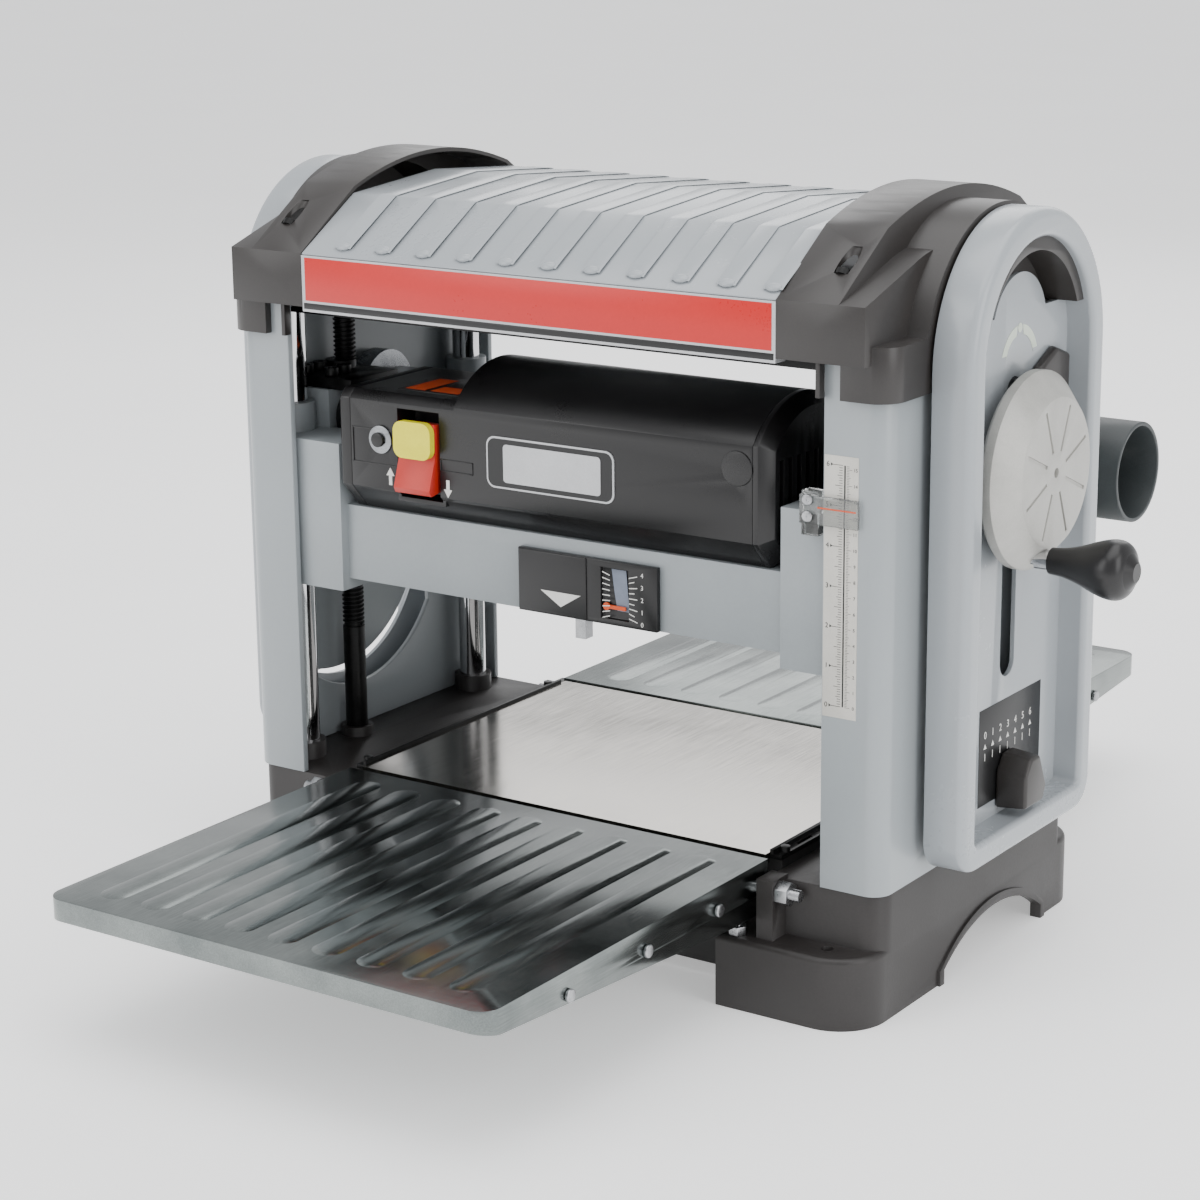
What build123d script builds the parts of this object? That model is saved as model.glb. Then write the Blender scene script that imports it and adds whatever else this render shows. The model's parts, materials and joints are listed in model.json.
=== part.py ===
"""Thickness planer for the bench: fixed bed, cutterhead carriage that rises and falls on four columns.

Millimetres. +X is the handwheel side, +Y the outfeed side, +Z up. The origin is on the bench, at the
centre of the four bench holes. The machine is mirrored about X = 0 and Y = 0 unless a comment says so.
"""

import os

from build123d import *

# ---- clearances ----
GAP = 0.4  # between bodies that pass each other
RUN = 0.05  # radial, in a running fit

# ---- table ----
TABLE_TOP = 95.0
BED_WIDTH = 331.0
BED_LENGTH = 238.0
BED_PLATE = 4.0
BED_BAR = 5.0  # bright bar at each end of the bed, measured along Y
BED_HALF_X = BED_WIDTH / 2
BED_HALF_Y = BED_LENGTH / 2
WING_WIDTH = BED_WIDTH + 11.0
WING_PIVOT_Y = BED_HALF_Y + 22.0
WING_PIVOT_Z = TABLE_TOP - 16.0
WING_START = WING_PIVOT_Y - 11.0  # inner edge from the centre line
WING_LENGTH = 301.0
WING_REACH = WING_START + WING_LENGTH  # outer lip from the centre line
WING_SHEET = 1.6
WING_LIP = 14.0
WING_FLANGE = 34.0  # depth of the side flange beside the pivot
WING_CORNER_R = 14.0
WING_BRACE_PITCH = 90.0  # between the cross braces under a wing
WING_BRACE_HALF = 9.0
PIVOT_BOLT_R = 4.0
PIVOT_NUT = 14.0  # across flats

# ---- base ----
BASE_INNER = BED_HALF_X - 16.5
BASE_OUTER = BED_HALF_X + 88.5
BASE_DECK_Y = BED_HALF_Y + 13.0
BASE_FOOT_Y = BASE_DECK_Y + 26.0
LEDGE_TOP = 48.0
LEDGE_EDGE_R = 4.0
DECK_TOP = TABLE_TOP - 10.0
DECK_INNER = BED_HALF_X + 8.5
BASE_WALL = 5.0
FOOT_CORNER_R = 34.0
DECK_CORNER_R = 16.0
BRACKET_WIDE = 12.0
ARCH_CENTRE_Y = 22.0
ARCH_HALF = 70.0
ARCH_RISE = 33.0
ARCH_SPRING = 10.0  # height of the arch's straight sides
ARCH_LIP = 6.0
BENCH_HOLE_X = BASE_OUTER - 33.0
BENCH_HOLE_Y = BASE_FOOT_Y - 18.0
BENCH_HOLE_R = 4.0
BENCH_BOSS_R = 9.0
COLLAR_R = 14.0
COLLAR_HEIGHT = 12.0
APRON_BOTTOM = 8.0
BED_RIB = 7.0
BED_CELLS = (5, 3)

# ---- columns and screws ----
COLUMN_X = BED_HALF_X + 70.5
COLUMN_Y = BED_HALF_Y - 19.0
COLUMN_R = 10.0
SCREW_X = COLUMN_X + 2.0
SCREW_Y = -40.0
SCREW_R = 8.0
COLUMN_FOOT = DECK_TOP - 25.0
SOCKET_DEPTH = 8.0  # of the material under a column's foot
TIE_BOTTOM = TABLE_TOP + 316.0
TIE_TOP = TIE_BOTTOM + 15.0
TIE_SHEET = 4.0
HEAD_SOCKET = 10.0  # of a column or screw in the tie

# ---- side frames ----
FRAME_FRONT_Y = BED_HALF_Y + 14.0
FRAME_WALL = 4.0
FRAME_OUTER = BASE_OUTER + 1.0
FRONT_FLANGE_X = FRAME_OUTER - 44.0
REAR_FLANGE_X = FRAME_OUTER - 19.0
FRAME_CORNER_R = 13.0
HEAD_LINE = TIE_TOP + 14.0
FRAME_TOP = HEAD_LINE - 10.0

# ---- outer panels ----
PANEL_OUTER = FRAME_OUTER + 35.0
PANEL_BACK = FRAME_OUTER + 7.0
PANEL_HALF_Y = COLUMN_Y - 8.0
PANEL_BOTTOM = DECK_TOP + 6.0
PANEL_TOP = HEAD_LINE + PANEL_HALF_Y - 29.0
PANEL_RIM = 18.0
PANEL_WALL = 3.0
PANEL_FLOOR = PANEL_BACK + 9.0
PANEL_CORNER_R = 22.0
PANEL_EDGE_R = 6.0
PANEL_MOUTH_R = 4.0
HILL_Y = 6.0
HILL_Z = PANEL_TOP - 79.0
HILL_R = 37.0
HANDLE_SILL = PANEL_TOP - 67.0
SLOT_WIDTH = 20.0
SLOT_BOTTOM = TABLE_TOP + 105.0
SLOT_TOP = TABLE_TOP + 301.0
WINDOW_R = 90.0  # round-bottomed window in the left side
WINDOW_Y = -14.0
WINDOW_Z = TABLE_TOP + 117.0
DISH_R = 103.0  # dished disc that fills all of the window but a crescent
DISH_Y = -41.0
DISH_Z = WINDOW_Z + 21.0

# ---- covers ----
COVER_INNER = BED_HALF_X + 19.5
COVER_STEP = COVER_INNER + 43.0
COVER_OUTER = FRAME_OUTER + 5.0
COVER_FRONT_Y = FRAME_FRONT_Y + 14.0
COVER_SKIRT_Y = FRAME_FRONT_Y + 6.0
COVER_SKIRT_BOTTOM = HEAD_LINE - 41.0
COVER_BEAM_BOTTOM = HEAD_LINE - 18.0
COVER_CREASE = HEAD_LINE + 18.0
COVER_LOBE_TOP = HEAD_LINE + PANEL_HALF_Y - 27.0
COVER_TOP = COVER_LOBE_TOP + 8.0
COVER_WALL = 3.0
COVER_SCREW_Y = COVER_FRONT_Y - 25.0
COVER_SCREW_TILT = 40.0
GRIP_THICK = 9.0
TOP_CREASE_Y = COVER_FRONT_Y - 57.0
TOP_CREASE_Z = COVER_TOP - 21.0
TOP_HEIGHT = COVER_TOP - 14.0
TOP_SHEET = 2.5
BANNER_BOTTOM = COVER_BEAM_BOTTOM - 3.0

# ---- cutterhead, rollers and drive, at a cut height of 123 mm ----
CUT_HEIGHT = 123.0
CUT_R = 27.0
HEAD_R = 23.5
HEAD_Z = TABLE_TOP + CUT_HEIGHT + CUT_R
HEAD_HALF = BED_HALF_X - 1.5
JOURNAL_R = 10.0
BEARING_R = 20.0
BEARING_WIDE = 14.0
INSERT = 12.0
INSERT_THICK = 2.4
INSERT_ROWS = 5
INSERTS_IN_ROW = 10
ROLLER_Y = 72.0
ROLLER_R = 16.0
ROLLER_DROP = 1.0  # below the cutting circle
ROLLER_Z = TABLE_TOP + CUT_HEIGHT - ROLLER_DROP + ROLLER_R
ROLLER_HALF = BED_HALF_X + 0.5
ROLLER_JOURNAL_R = 6.0
BLOCK_WIDTH = 26.0
BLOCK_HEIGHT = 24.0
SPRING_SEAT_R = 5.2
SPRING_SEAT = 3.0
SPRING_WIRE_R = 0.75

# ---- carriage ----
END_WALL_IN = BED_HALF_X + 10.5
END_WALL_OUT = END_WALL_IN + 16.0
BOSS_OUTER = FRAME_OUTER - FRAME_WALL - 0.8
BOX_FRONT_Y = FRAME_FRONT_Y - 8.0
BOX_BACK_Y = COLUMN_Y - 15.0
BOX_BOTTOM = HEAD_Z - 24.0
BOX_TOP = BOX_BOTTOM + 104.0
END_WALL_TOP = BOX_BOTTOM + 79.0
BOX_WALL = 5.0
BEAM_FRONT_Y = BOX_FRONT_Y - 7.0
BEAM_WALL = 18.0
BEAM_BOTTOM = BOX_BOTTOM + 8.0
BEAM_TOP = BEAM_BOTTOM + 47.0
BOSS_TOP = BOX_TOP + 20.0
BOSS_R = 15.0
BOSS_CORNER = 7.0
DECK_THICK = 5.5
CHIP_SLOT = (34.0, 88.0)
SPRING_ROOF = BOX_BOTTOM + 47.0
NUT_BLOCK_Y = (SCREW_Y - 28.0, SCREW_Y + 18.0)
NUT_BLOCK_X = SCREW_X - 22.0
NUT_BLOCK_Z = (BOX_BOTTOM + 79.0, BOX_BOTTOM + 131.0)
FLANGE_TOP = NUT_BLOCK_Z[1] + 8.0
FLANGE_BOLT_R = 3.0

# ---- motor housing ----
HOUSING_FRONT_Y = BEAM_FRONT_Y + 13.0
HOUSING_BACK_Y = -12.0
HOUSING_BOTTOM = BEAM_TOP + 6.0
HOUSING_FRONT_LOW = HOUSING_BOTTOM + 18.0
HOUSING_FRONT_HIGH = HOUSING_BOTTOM + 80.0
HOUSING_FLAT_TOP = HOUSING_BOTTOM + 84.0
HOUSING_DOME_TOP = HOUSING_BOTTOM + 105.0
HOUSING_BACK_TOP = HOUSING_BOTTOM + 56.0
HOUSING_HALF = END_WALL_IN - 5.0
CAP_SEAM_X = -HOUSING_HALF + 11.0
GRILLE_X = HOUSING_HALF - 12.0
GRILLE_TAPER = 8.0
GRILLE_FACE = 7.0
GRILLE_SLOTS = 10
DOME_START_X = -72.0
HOUSING_WALL = 3.0
MOTOR_Y = -62.0
MOTOR_Z = HOUSING_BOTTOM + 49.0
ARMATURE_R = 21.0
STATOR_R = 38.0
STATOR_X = (-50.0, 40.0)
SHAFT_END_X = GRILLE_X + 1.0
MOTOR_SHAFT_R = 5.0
FAN_X = GRILLE_X - 27.0
FAN_R = 34.0
FAN_BLADES = 9
BELT_X = END_WALL_OUT + 10.0
BELT_WIDTH = 10.0
MOTOR_PULLEY_R = 12.0
HEAD_PULLEY_R = 20.0
BELT_THICK = 2.5
CHAIN_X = END_WALL_OUT + 11.0
CHAIN_WIDE = 4.5
SPROCKET_R = 12.0
SPROCKET_TEETH = 14

# ---- switch, reset and brush caps ----
PADDLE_X = -HOUSING_HALF + 69.0
PADDLE_TOP = HOUSING_BOTTOM + 69.0
PADDLE_BOTTOM = HOUSING_BOTTOM + 18.0
PADDLE_WIDTH = 30.0
PADDLE_POCKET = 35.0
PADDLE_PIN_Z = HOUSING_BOTTOM + 44.0
PADDLE_PIN_R = 2.2
KEY_STEM = (18.0, 16.0)
KEY_PLATE = (31.0, 25.0)
KEY_Z = PADDLE_PIN_Z + 12.0
RESET_X = -HOUSING_HALF + 36.0
RESET_Z = HOUSING_BOTTOM + 52.0
RESET_R = 5.0
BRUSH_X = HOUSING_HALF - 23.0
BRUSH_Z = HOUSING_BOTTOM + 65.0
BRUSH_R = 8.6
GLAND_X = -120.0
GLAND_Z = HOUSING_BOTTOM + 28.0

# ---- handwheel and lift ----
WHEEL_Z = BOX_BOTTOM + 116.5
WHEEL_R = 63.5
WHEEL_BACK = PANEL_FLOOR + 8.0
WHEEL_FACE = WHEEL_BACK + 23.0
WHEEL_FACE_R = 48.0
WHEEL_GROOVES = 8
KNOB_RADIUS = 55.0
KNOB_ANGLE = -102.0  # degrees in the YZ plane, from +Y towards +Z
KNOB_LENGTH = 58.0
KNOB_R = 19.0
STUD_R = 4.0
STUD_END = WHEEL_FACE + 56.0
SHAFT_R = 6.0
SHAFT_BOSS_HALF = 16.0
LIFT_GEAR_R = 28.4
LIFT_GEAR_WIDTH = 14.0
NUT_GEAR_R = 11.2
NUT_GEAR_TEETH = 16
LEVER_Y = 44.0
LEVER_Z = TABLE_TOP + 296.0
LEVER_PIN_R = 5.0
LEVER_THICK = 6.6
STOP_Y = 3.0
STOP_Z = TABLE_TOP + 36.0
STOP_SLOT = (52.0, 7.0)
STOP_THICK = 22.0

# ---- dust ----
HOOD_HALF = END_WALL_IN - 26.0
HOOD_Y = (30.0, BOX_FRONT_Y + 25.0)
HOOD_TOP = BEAM_TOP + 54.0
DUCT_X = END_WALL_OUT + 13.0
DUCT_Y = COLUMN_Y + 100.0
DUCT_Z = BEAM_TOP + 20.0
DUCT_R = 34.0
DUCT_START = (HOOD_HALF - 28.0, 112.0)
PORT_R = 35.0
PORT_WALL = 3.0
PORT_START = DUCT_X + 24.0
PORT_MOUTH = DUCT_X + 63.0
ELBOW_R = 42.0

# ---- gauge ----
GAUGE_X = (-28.0, 82.0)
GAUGE_FRONT_Y = BEAM_FRONT_Y + 4.0
GAUGE_Z = (BEAM_BOTTOM, BEAM_BOTTOM + 43.0)
GAUGE_LEDGE = 4.0  # of the casting behind the gauge, at each side and above
FOOT_X = 20.0
FOOT_HALF = 4.0
FOOT_TRAVEL = 2.6
POINTER_X = 48.0
POINTER_Z = GAUGE_Z[0] + 12.0
SCALE_ARM = (END_WALL_OUT + 4.0, FRONT_FLANGE_X + 26.0)
SCALE_ARM_Z = BOX_TOP - 5.0

NODES = {}


def box(x, y, z):
    """A box from three (low, high) pairs, given in any order."""
    (x0, x1), (y0, y1), (z0, z1) = sorted(x), sorted(y), sorted(z)
    return Pos((x0 + x1) / 2, (y0 + y1) / 2, (z0 + z1) / 2) * Box(x1 - x0, y1 - y0, z1 - z0)


def rod(axis, centre, radius, length):
    """A cylinder along X, Y or Z that starts at centre and runs along the positive axis."""
    turn = {"x": Rot(0, 90, 0), "y": Rot(-90, 0, 0), "z": Rot(0, 0, 0)}[axis]
    return Pos(*centre) * turn * Pos(0, 0, length / 2) * Cylinder(radius, length)


def slab_x(outline, x0, x1):
    """Extrude a face drawn as (Y, Z) between two X values."""
    face = Plane.YZ * outline
    return Pos(min(x0, x1), 0, 0) * extrude(face, abs(x1 - x0), dir=(1, 0, 0))


def polygon(*points):
    return make_face(Polyline(*points, close=True))


def left_of(shape):
    return mirror(shape, Plane.YZ)


def rear_of(shape):
    return mirror(shape, Plane.XZ)


def both_sides(shape):
    return [shape, left_of(shape)]


def four_corners(shape):
    pair = [shape, rear_of(shape)]
    return pair + [left_of(each) for each in pair]


def hexagon_prism(axis, centre, across, length):
    """A hexagon bar along X or Z that starts at centre."""
    bar = extrude(RegularPolygon(across / 2, 6, major_radius=False), length)
    turn = Rot(0, 90, 0) if axis == "x" else Rot(0, 0, 0)
    return Pos(*centre) * turn * bar


def keep(name, *solids):
    """Register a node from one or more separate solids."""
    flat = []
    for item in solids:
        flat += item if isinstance(item, list) else [item]
    pieces = [solid for item in flat for solid in item.solids()]
    NODES[name] = pieces[0] if len(pieces) == 1 else Compound(children=pieces)


# ---------------------------------------------------------------- base
def base_plan(y_half, inner, outer, radius):
    """Plan of one base step, with its two outer corners rounded."""
    face = Pos((inner + outer) / 2, 0) * Rectangle(outer - inner, 2 * y_half)
    return fillet(face.vertices().sort_by(Axis.X)[-2:], radius)


def base_right():
    foot = extrude(base_plan(BASE_FOOT_Y, BASE_INNER, BASE_OUTER, FOOT_CORNER_R), LEDGE_TOP)
    foot = fillet(foot.faces().sort_by(Axis.Z)[-1].edges(), LEDGE_EDGE_R)
    deck = extrude(base_plan(BASE_DECK_Y, DECK_INNER, BASE_OUTER, DECK_CORNER_R), DECK_TOP)
    bracket = box((DECK_INNER, DECK_INNER + BRACKET_WIDE), (-WING_PIVOT_Y - 8, -BASE_DECK_Y + 2),
                  (LEDGE_TOP - 2, WING_PIVOT_Z + 9))
    shell = foot + deck + bracket + rear_of(bracket)
    core = extrude(base_plan(BASE_FOOT_Y - BASE_WALL, BASE_INNER + BASE_WALL, BASE_OUTER - BASE_WALL,
                             FOOT_CORNER_R - BASE_WALL), LEDGE_TOP - BASE_WALL)
    core += extrude(base_plan(BASE_DECK_Y - BASE_WALL, DECK_INNER + BASE_WALL, BASE_OUTER - BASE_WALL,
                              DECK_CORNER_R - BASE_WALL), DECK_TOP - BASE_WALL)
    shell -= core
    for hole in four_corners(rod("z", (BENCH_HOLE_X, BENCH_HOLE_Y, 0), BENCH_BOSS_R, LEDGE_TOP - 1))[:2]:
        shell += hole
    socket_floor = COLUMN_FOOT - SOCKET_DEPTH
    for y in (-COLUMN_Y, COLUMN_Y):
        shell += rod("z", (COLUMN_X, y, socket_floor), COLLAR_R, DECK_TOP + COLLAR_HEIGHT - socket_floor)
    shell += rod("z", (SCREW_X, SCREW_Y, socket_floor), SCREW_R + 4, DECK_TOP + 7 - socket_floor)
    for y in (-COLUMN_Y, COLUMN_Y):
        shell -= rod("z", (COLUMN_X, y, COLUMN_FOOT), COLUMN_R, 80)
    shell -= rod("z", (SCREW_X, SCREW_Y, COLUMN_FOOT), SCREW_R, 80)
    shell &= box((0, BASE_OUTER), (-300, 300), (0, 200))
    for y in (-BENCH_HOLE_Y, BENCH_HOLE_Y):
        shell -= rod("z", (BENCH_HOLE_X, y, -1), BENCH_HOLE_R, LEDGE_TOP + 2)
    for y in (-WING_PIVOT_Y, WING_PIVOT_Y):
        shell -= rod("x", (DECK_INNER - 1, y, WING_PIVOT_Z), PIVOT_BOLT_R, BRACKET_WIDE + 2)
    shell -= arch_tool(0, 60)
    shell += arch_tool(ARCH_LIP, 7) - arch_tool(0, 60)
    return shell & box((0, BASE_OUTER + 10), (-300, 300), (0, 200))


def arch_tool(grow, depth):
    """The arch between the feet on the outer wall, as a solid that runs inwards from the wall."""
    rise, half = ARCH_RISE + grow, ARCH_HALF + grow
    left, right = ARCH_CENTRE_Y - half, ARCH_CENTRE_Y + half
    top = ThreePointArc((left, ARCH_SPRING), (ARCH_CENTRE_Y, rise), (right, ARCH_SPRING))
    sides = Polyline((right, ARCH_SPRING), (right, -20), (left, -20), (left, ARCH_SPRING))
    face = make_face([top, sides])
    return slab_x(face, BASE_OUTER - depth + (1 if grow else 20), BASE_OUTER + (2 if grow else 20))


def bed_casting():
    """Cast table under the bed plate, open below between its ribs."""
    half_y = BED_HALF_Y - 2
    top = box((-DECK_INNER, DECK_INNER), (-half_y, half_y), (LEDGE_TOP, TABLE_TOP - BED_PLATE))
    apron = box((-BASE_INNER + GAP, BASE_INNER - GAP), (-half_y, half_y), (APRON_BOTTOM, LEDGE_TOP))
    body = top + apron
    cells_x, cells_y = BED_CELLS
    reach_x, reach_y = BASE_INNER - BED_RIB - 1, half_y - BED_RIB
    width = (2 * reach_x - (cells_x - 1) * BED_RIB) / cells_x
    depth = (2 * reach_y - (cells_y - 1) * BED_RIB) / cells_y
    for i in range(cells_x):
        for j in range(cells_y):
            x = -reach_x + width / 2 + i * (width + BED_RIB)
            y = -reach_y + depth / 2 + j * (depth + BED_RIB)
            body -= box((x - width / 2, x + width / 2), (y - depth / 2, y + depth / 2),
                        (0, TABLE_TOP - BED_PLATE - BED_RIB - 2))
    return body


def bed_side_rail():
    """Black angle along the side of the bed, with slots in its top and its screws beside them."""
    low, high = BED_HALF_X + 0.2, BED_HALF_X + 9
    half, slots = BED_HALF_Y, 5
    rail = box((low, high), (-half, half), (TABLE_TOP - BED_PLATE, TABLE_TOP - 1))
    rail += box((low, low + 2.5), (-half, half), (TABLE_TOP - BED_PLATE, TABLE_TOP + 2))
    pitch = (2 * half - 70) / (slots - 1)
    for i in range(slots):
        y = -2 * pitch + pitch * i
        rail -= box((low + 4, low + 6.5), (y - 9, y + 9), (TABLE_TOP - 12, TABLE_TOP + 4))
    for y in (-half + 10, half - 10):
        rail += rod("z", (low + 5.6, y, TABLE_TOP - 2), 3.2, 4.5)
    return rail


# ---------------------------------------------------------------- wings
def wing():
    """Infeed wing: a folded sheet with turned-down sides and ends. The outfeed one is its mirror."""
    half = WING_WIDTH / 2
    inner, outer = -WING_START, -WING_REACH
    lip, flange = TABLE_TOP - WING_LIP, TABLE_TOP - WING_FLANGE
    side = polygon((inner, TABLE_TOP), (outer, TABLE_TOP), (outer, lip), (outer + 12, lip - 2),
                   (-WING_PIVOT_Y - 26, flange), (-WING_PIVOT_Y, flange), (inner, flange + 12))
    block = slab_x(side, -half, half)
    corners = block.edges().filter_by(Axis.Z).sort_by(Axis.Y)[:2]
    block = fillet(corners, WING_CORNER_R)
    hollow = box((-half + WING_SHEET, half - WING_SHEET), (outer + WING_SHEET, inner - WING_SHEET),
                 (0, TABLE_TOP - WING_SHEET))
    hollow = fillet(hollow.edges().filter_by(Axis.Z).sort_by(Axis.Y)[:2], WING_CORNER_R - WING_SHEET)
    block -= hollow
    for i in range(3):
        brace = inner - 70 - i * WING_BRACE_PITCH
        block += box((-half + 1, half - 1), (brace - WING_BRACE_HALF, brace + WING_BRACE_HALF),
                     (TABLE_TOP - 9, TABLE_TOP - 1))
    block -= rod("x", (-half - 1, -WING_PIVOT_Y, WING_PIVOT_Z), PIVOT_BOLT_R + RUN, WING_WIDTH + 2)
    return block


def wing_bolts():
    """Hinge bolt with its nut at each wing corner, and the levelling bolt under each flange."""
    half = WING_WIDTH / 2
    nut_x = DECK_INNER + BRACKET_WIDE
    shank = rod("x", (half - 6, -WING_PIVOT_Y, WING_PIVOT_Z), PIVOT_BOLT_R, nut_x + 16 - half + 6)
    head = hexagon_prism("x", (half - 10, -WING_PIVOT_Y, WING_PIVOT_Z), PIVOT_NUT - 2, 4)
    nut = hexagon_prism("x", (nut_x, -WING_PIVOT_Y, WING_PIVOT_Z), PIVOT_NUT, 9)
    stop_spot = (BASE_INNER + 11, -BASE_FOOT_Y + 9, LEDGE_TOP)
    stop = hexagon_prism("z", stop_spot, 11, 6) + rod("z", stop_spot, 3, 9)
    return four_corners(shank + head + nut) + four_corners(stop)


# ---------------------------------------------------------------- side frames
def frame_section(rear_x):
    """Plan of the C-shaped side frame."""
    outer = Pos(FRAME_OUTER / 2, 0) * Rectangle(FRAME_OUTER, 2 * FRAME_FRONT_Y)
    outer = fillet(outer.vertices().sort_by(Axis.X)[-2:], FRAME_CORNER_R)
    inner = Pos((FRAME_OUTER - FRAME_WALL) / 2, 0) * Rectangle(FRAME_OUTER - FRAME_WALL,
                                                               2 * (FRAME_FRONT_Y - FRAME_WALL - 1))
    inner = fillet(inner.vertices().sort_by(Axis.X)[-2:], FRAME_CORNER_R - FRAME_WALL)
    front = Pos((FRONT_FLANGE_X + 300) / 2, -200) * Rectangle(300 - FRONT_FLANGE_X, 400)
    rear = Pos((rear_x + 300) / 2, 200) * Rectangle(300 - rear_x, 400)
    return (outer - inner) & (front + rear)


def side_frame():
    body = extrude(frame_section(REAR_FLANGE_X), FRAME_TOP - DECK_TOP)
    return Pos(0, 0, DECK_TOP) * body


def slot_tool(width, bottom, top, x0, x1):
    """A tall round-ended slot at Y = 0, cut along X."""
    height = top - bottom
    return slab_x(Pos(0, (bottom + top) / 2) * RectangleRounded(width, height, width / 2 - 0.01), x0, x1)


def stop_slot(x0, x1, grow=0.0):
    """Short slot along Y in which the depth stop slides."""
    wide, high = STOP_SLOT
    return slab_x(Pos(STOP_Y, STOP_Z) * RectangleRounded(wide + grow, high + grow, 3.4), x0, x1)


def crescent(x0, x1, grow=0.0):
    """The open part of the left window, outside its dished disc."""
    window = slab_x(Pos(WINDOW_Y, WINDOW_Z) * Circle(WINDOW_R + grow), x0, x1)
    dish = slab_x(Pos(DISH_Y, DISH_Z) * Circle(DISH_R - grow), x0, x1)
    return (window - dish) & box((x0, x1), (WINDOW_Y - 56, WINDOW_Y + 80), (DECK_TOP + 15, WINDOW_Z + 88))


def side_frame_right():
    body = side_frame()
    low, high = FRAME_OUTER - 20, FRAME_OUTER + 5
    body -= slot_tool(SLOT_WIDTH + 8, SLOT_BOTTOM - 4, SLOT_TOP + 4, low, high)
    body -= stop_slot(low, high, 12)
    body -= rod("x", (low, LEVER_Y, LEVER_Z), LEVER_PIN_R + 3, 40)
    return body


def side_frame_left():
    return left_of(side_frame()) - crescent(-FRAME_OUTER - 5, -FRAME_OUTER + 20, 5.0)


# ---------------------------------------------------------------- outer panels
def arch_outline(inset, bottom):
    """Round-topped panel outline in (Y, Z), shrunk by inset, with rounded bottom corners."""
    half = PANEL_HALF_Y - inset
    centre = PANEL_TOP - PANEL_HALF_Y
    low = bottom + inset
    top = ThreePointArc((-half, centre), (0, centre + half), (half, centre))
    rest = Polyline((half, centre), (half, low), (-half, low), (-half, centre))
    face = make_face([top, rest])
    corners = face.vertices().sort_by(Axis.Y)[:2]
    return fillet(corners, max(PANEL_CORNER_R - inset, PANEL_WALL))


def outer_panel():
    """Blank panel: a hollow shell with a raised rim round a recessed floor."""
    rim = slab_x(arch_outline(0, PANEL_BOTTOM), PANEL_BACK, PANEL_OUTER)
    rim = fillet(rim.faces().sort_by(Axis.X)[-1].edges(), PANEL_EDGE_R)
    rim -= slab_x(arch_outline(PANEL_RIM, PANEL_BOTTOM), PANEL_FLOOR, PANEL_OUTER + 1)
    mouth = rim.faces().sort_by(Axis.X)[-1].inner_wires()[0].edges()
    rim = fillet(mouth, PANEL_MOUTH_R)
    rim -= slab_x(arch_outline(PANEL_WALL, PANEL_BOTTOM), PANEL_BACK - 1, PANEL_FLOOR - PANEL_WALL)
    ends = (PANEL_BACK - 2, PANEL_OUTER + 2)
    hill = slab_x(Pos(HILL_Y, HILL_Z) * Circle(HILL_R), PANEL_BACK - 3, PANEL_OUTER + 3)
    return rim - handle_tool(*ends) - (grip_tool(*ends) - hill)


def handle_tool(x0, x1):
    """Hand hole: the part of the recess above the sill and outside the rounded hill."""
    inside = slab_x(arch_outline(PANEL_RIM + GRIP_THICK + 0.5, PANEL_BOTTOM), x0, x1)
    above = box((x0, x1), (-PANEL_HALF_Y, PANEL_HALF_Y), (HANDLE_SILL, PANEL_TOP))
    hill = slab_x(Pos(HILL_Y, HILL_Z) * Circle(HILL_R), x0, x1)
    return (inside & above) - hill


def grip_tool(x0, x1):
    """Everything in the recess's arch above the sill, where the grip lining sits."""
    inside = slab_x(arch_outline(PANEL_RIM - 0.01, PANEL_BOTTOM), x0, x1)
    return inside & box((x0, x1), (-PANEL_HALF_Y, PANEL_HALF_Y), (HANDLE_SILL, PANEL_TOP))


def outer_panel_right():
    body = outer_panel()
    body -= slot_tool(SLOT_WIDTH, SLOT_BOTTOM, SLOT_TOP, PANEL_BACK - 2, PANEL_OUTER)
    body -= stop_slot(PANEL_BACK - 2, PANEL_OUTER)
    return body - rod("x", (PANEL_BACK - 2, LEVER_Y, LEVER_Z), LEVER_PIN_R + 0.3, 20)


def outer_panel_left():
    return left_of(outer_panel()) - crescent(-PANEL_OUTER, -PANEL_BACK + 2)


# ---------------------------------------------------------------- covers
def lobe_outline(front, crease, top, inset=0.0, bottom=COVER_BEAM_BOTTOM):
    """Cover profile in (Y, Z): upright front, crease, then a curve over the top to the rear."""
    f, c, t = front - inset, crease - inset * 0.4, top - inset
    shoulder_y, shoulder_z = f * 0.60, crease + (t - crease) * 0.70
    over = Spline((-shoulder_y, shoulder_z), (0, t), (shoulder_y, shoulder_z),
                  tangents=[(1, 0.36), (1, -0.36)])
    rest = Polyline((shoulder_y, shoulder_z), (f, c), (f, bottom), (-f, bottom), (-f, c),
                    (-shoulder_y, shoulder_z))
    return make_face([over, rest])


def round_lobe(radius, bottom):
    """Outer lobe profile: half circle on straight legs."""
    centre = COVER_LOBE_TOP - PANEL_HALF_Y - 8
    top = ThreePointArc((-radius, centre), (0, centre + radius), (radius, centre))
    legs = Polyline((radius, centre), (radius, bottom), (-radius, bottom), (-radius, centre))
    return make_face([top, legs])


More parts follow.
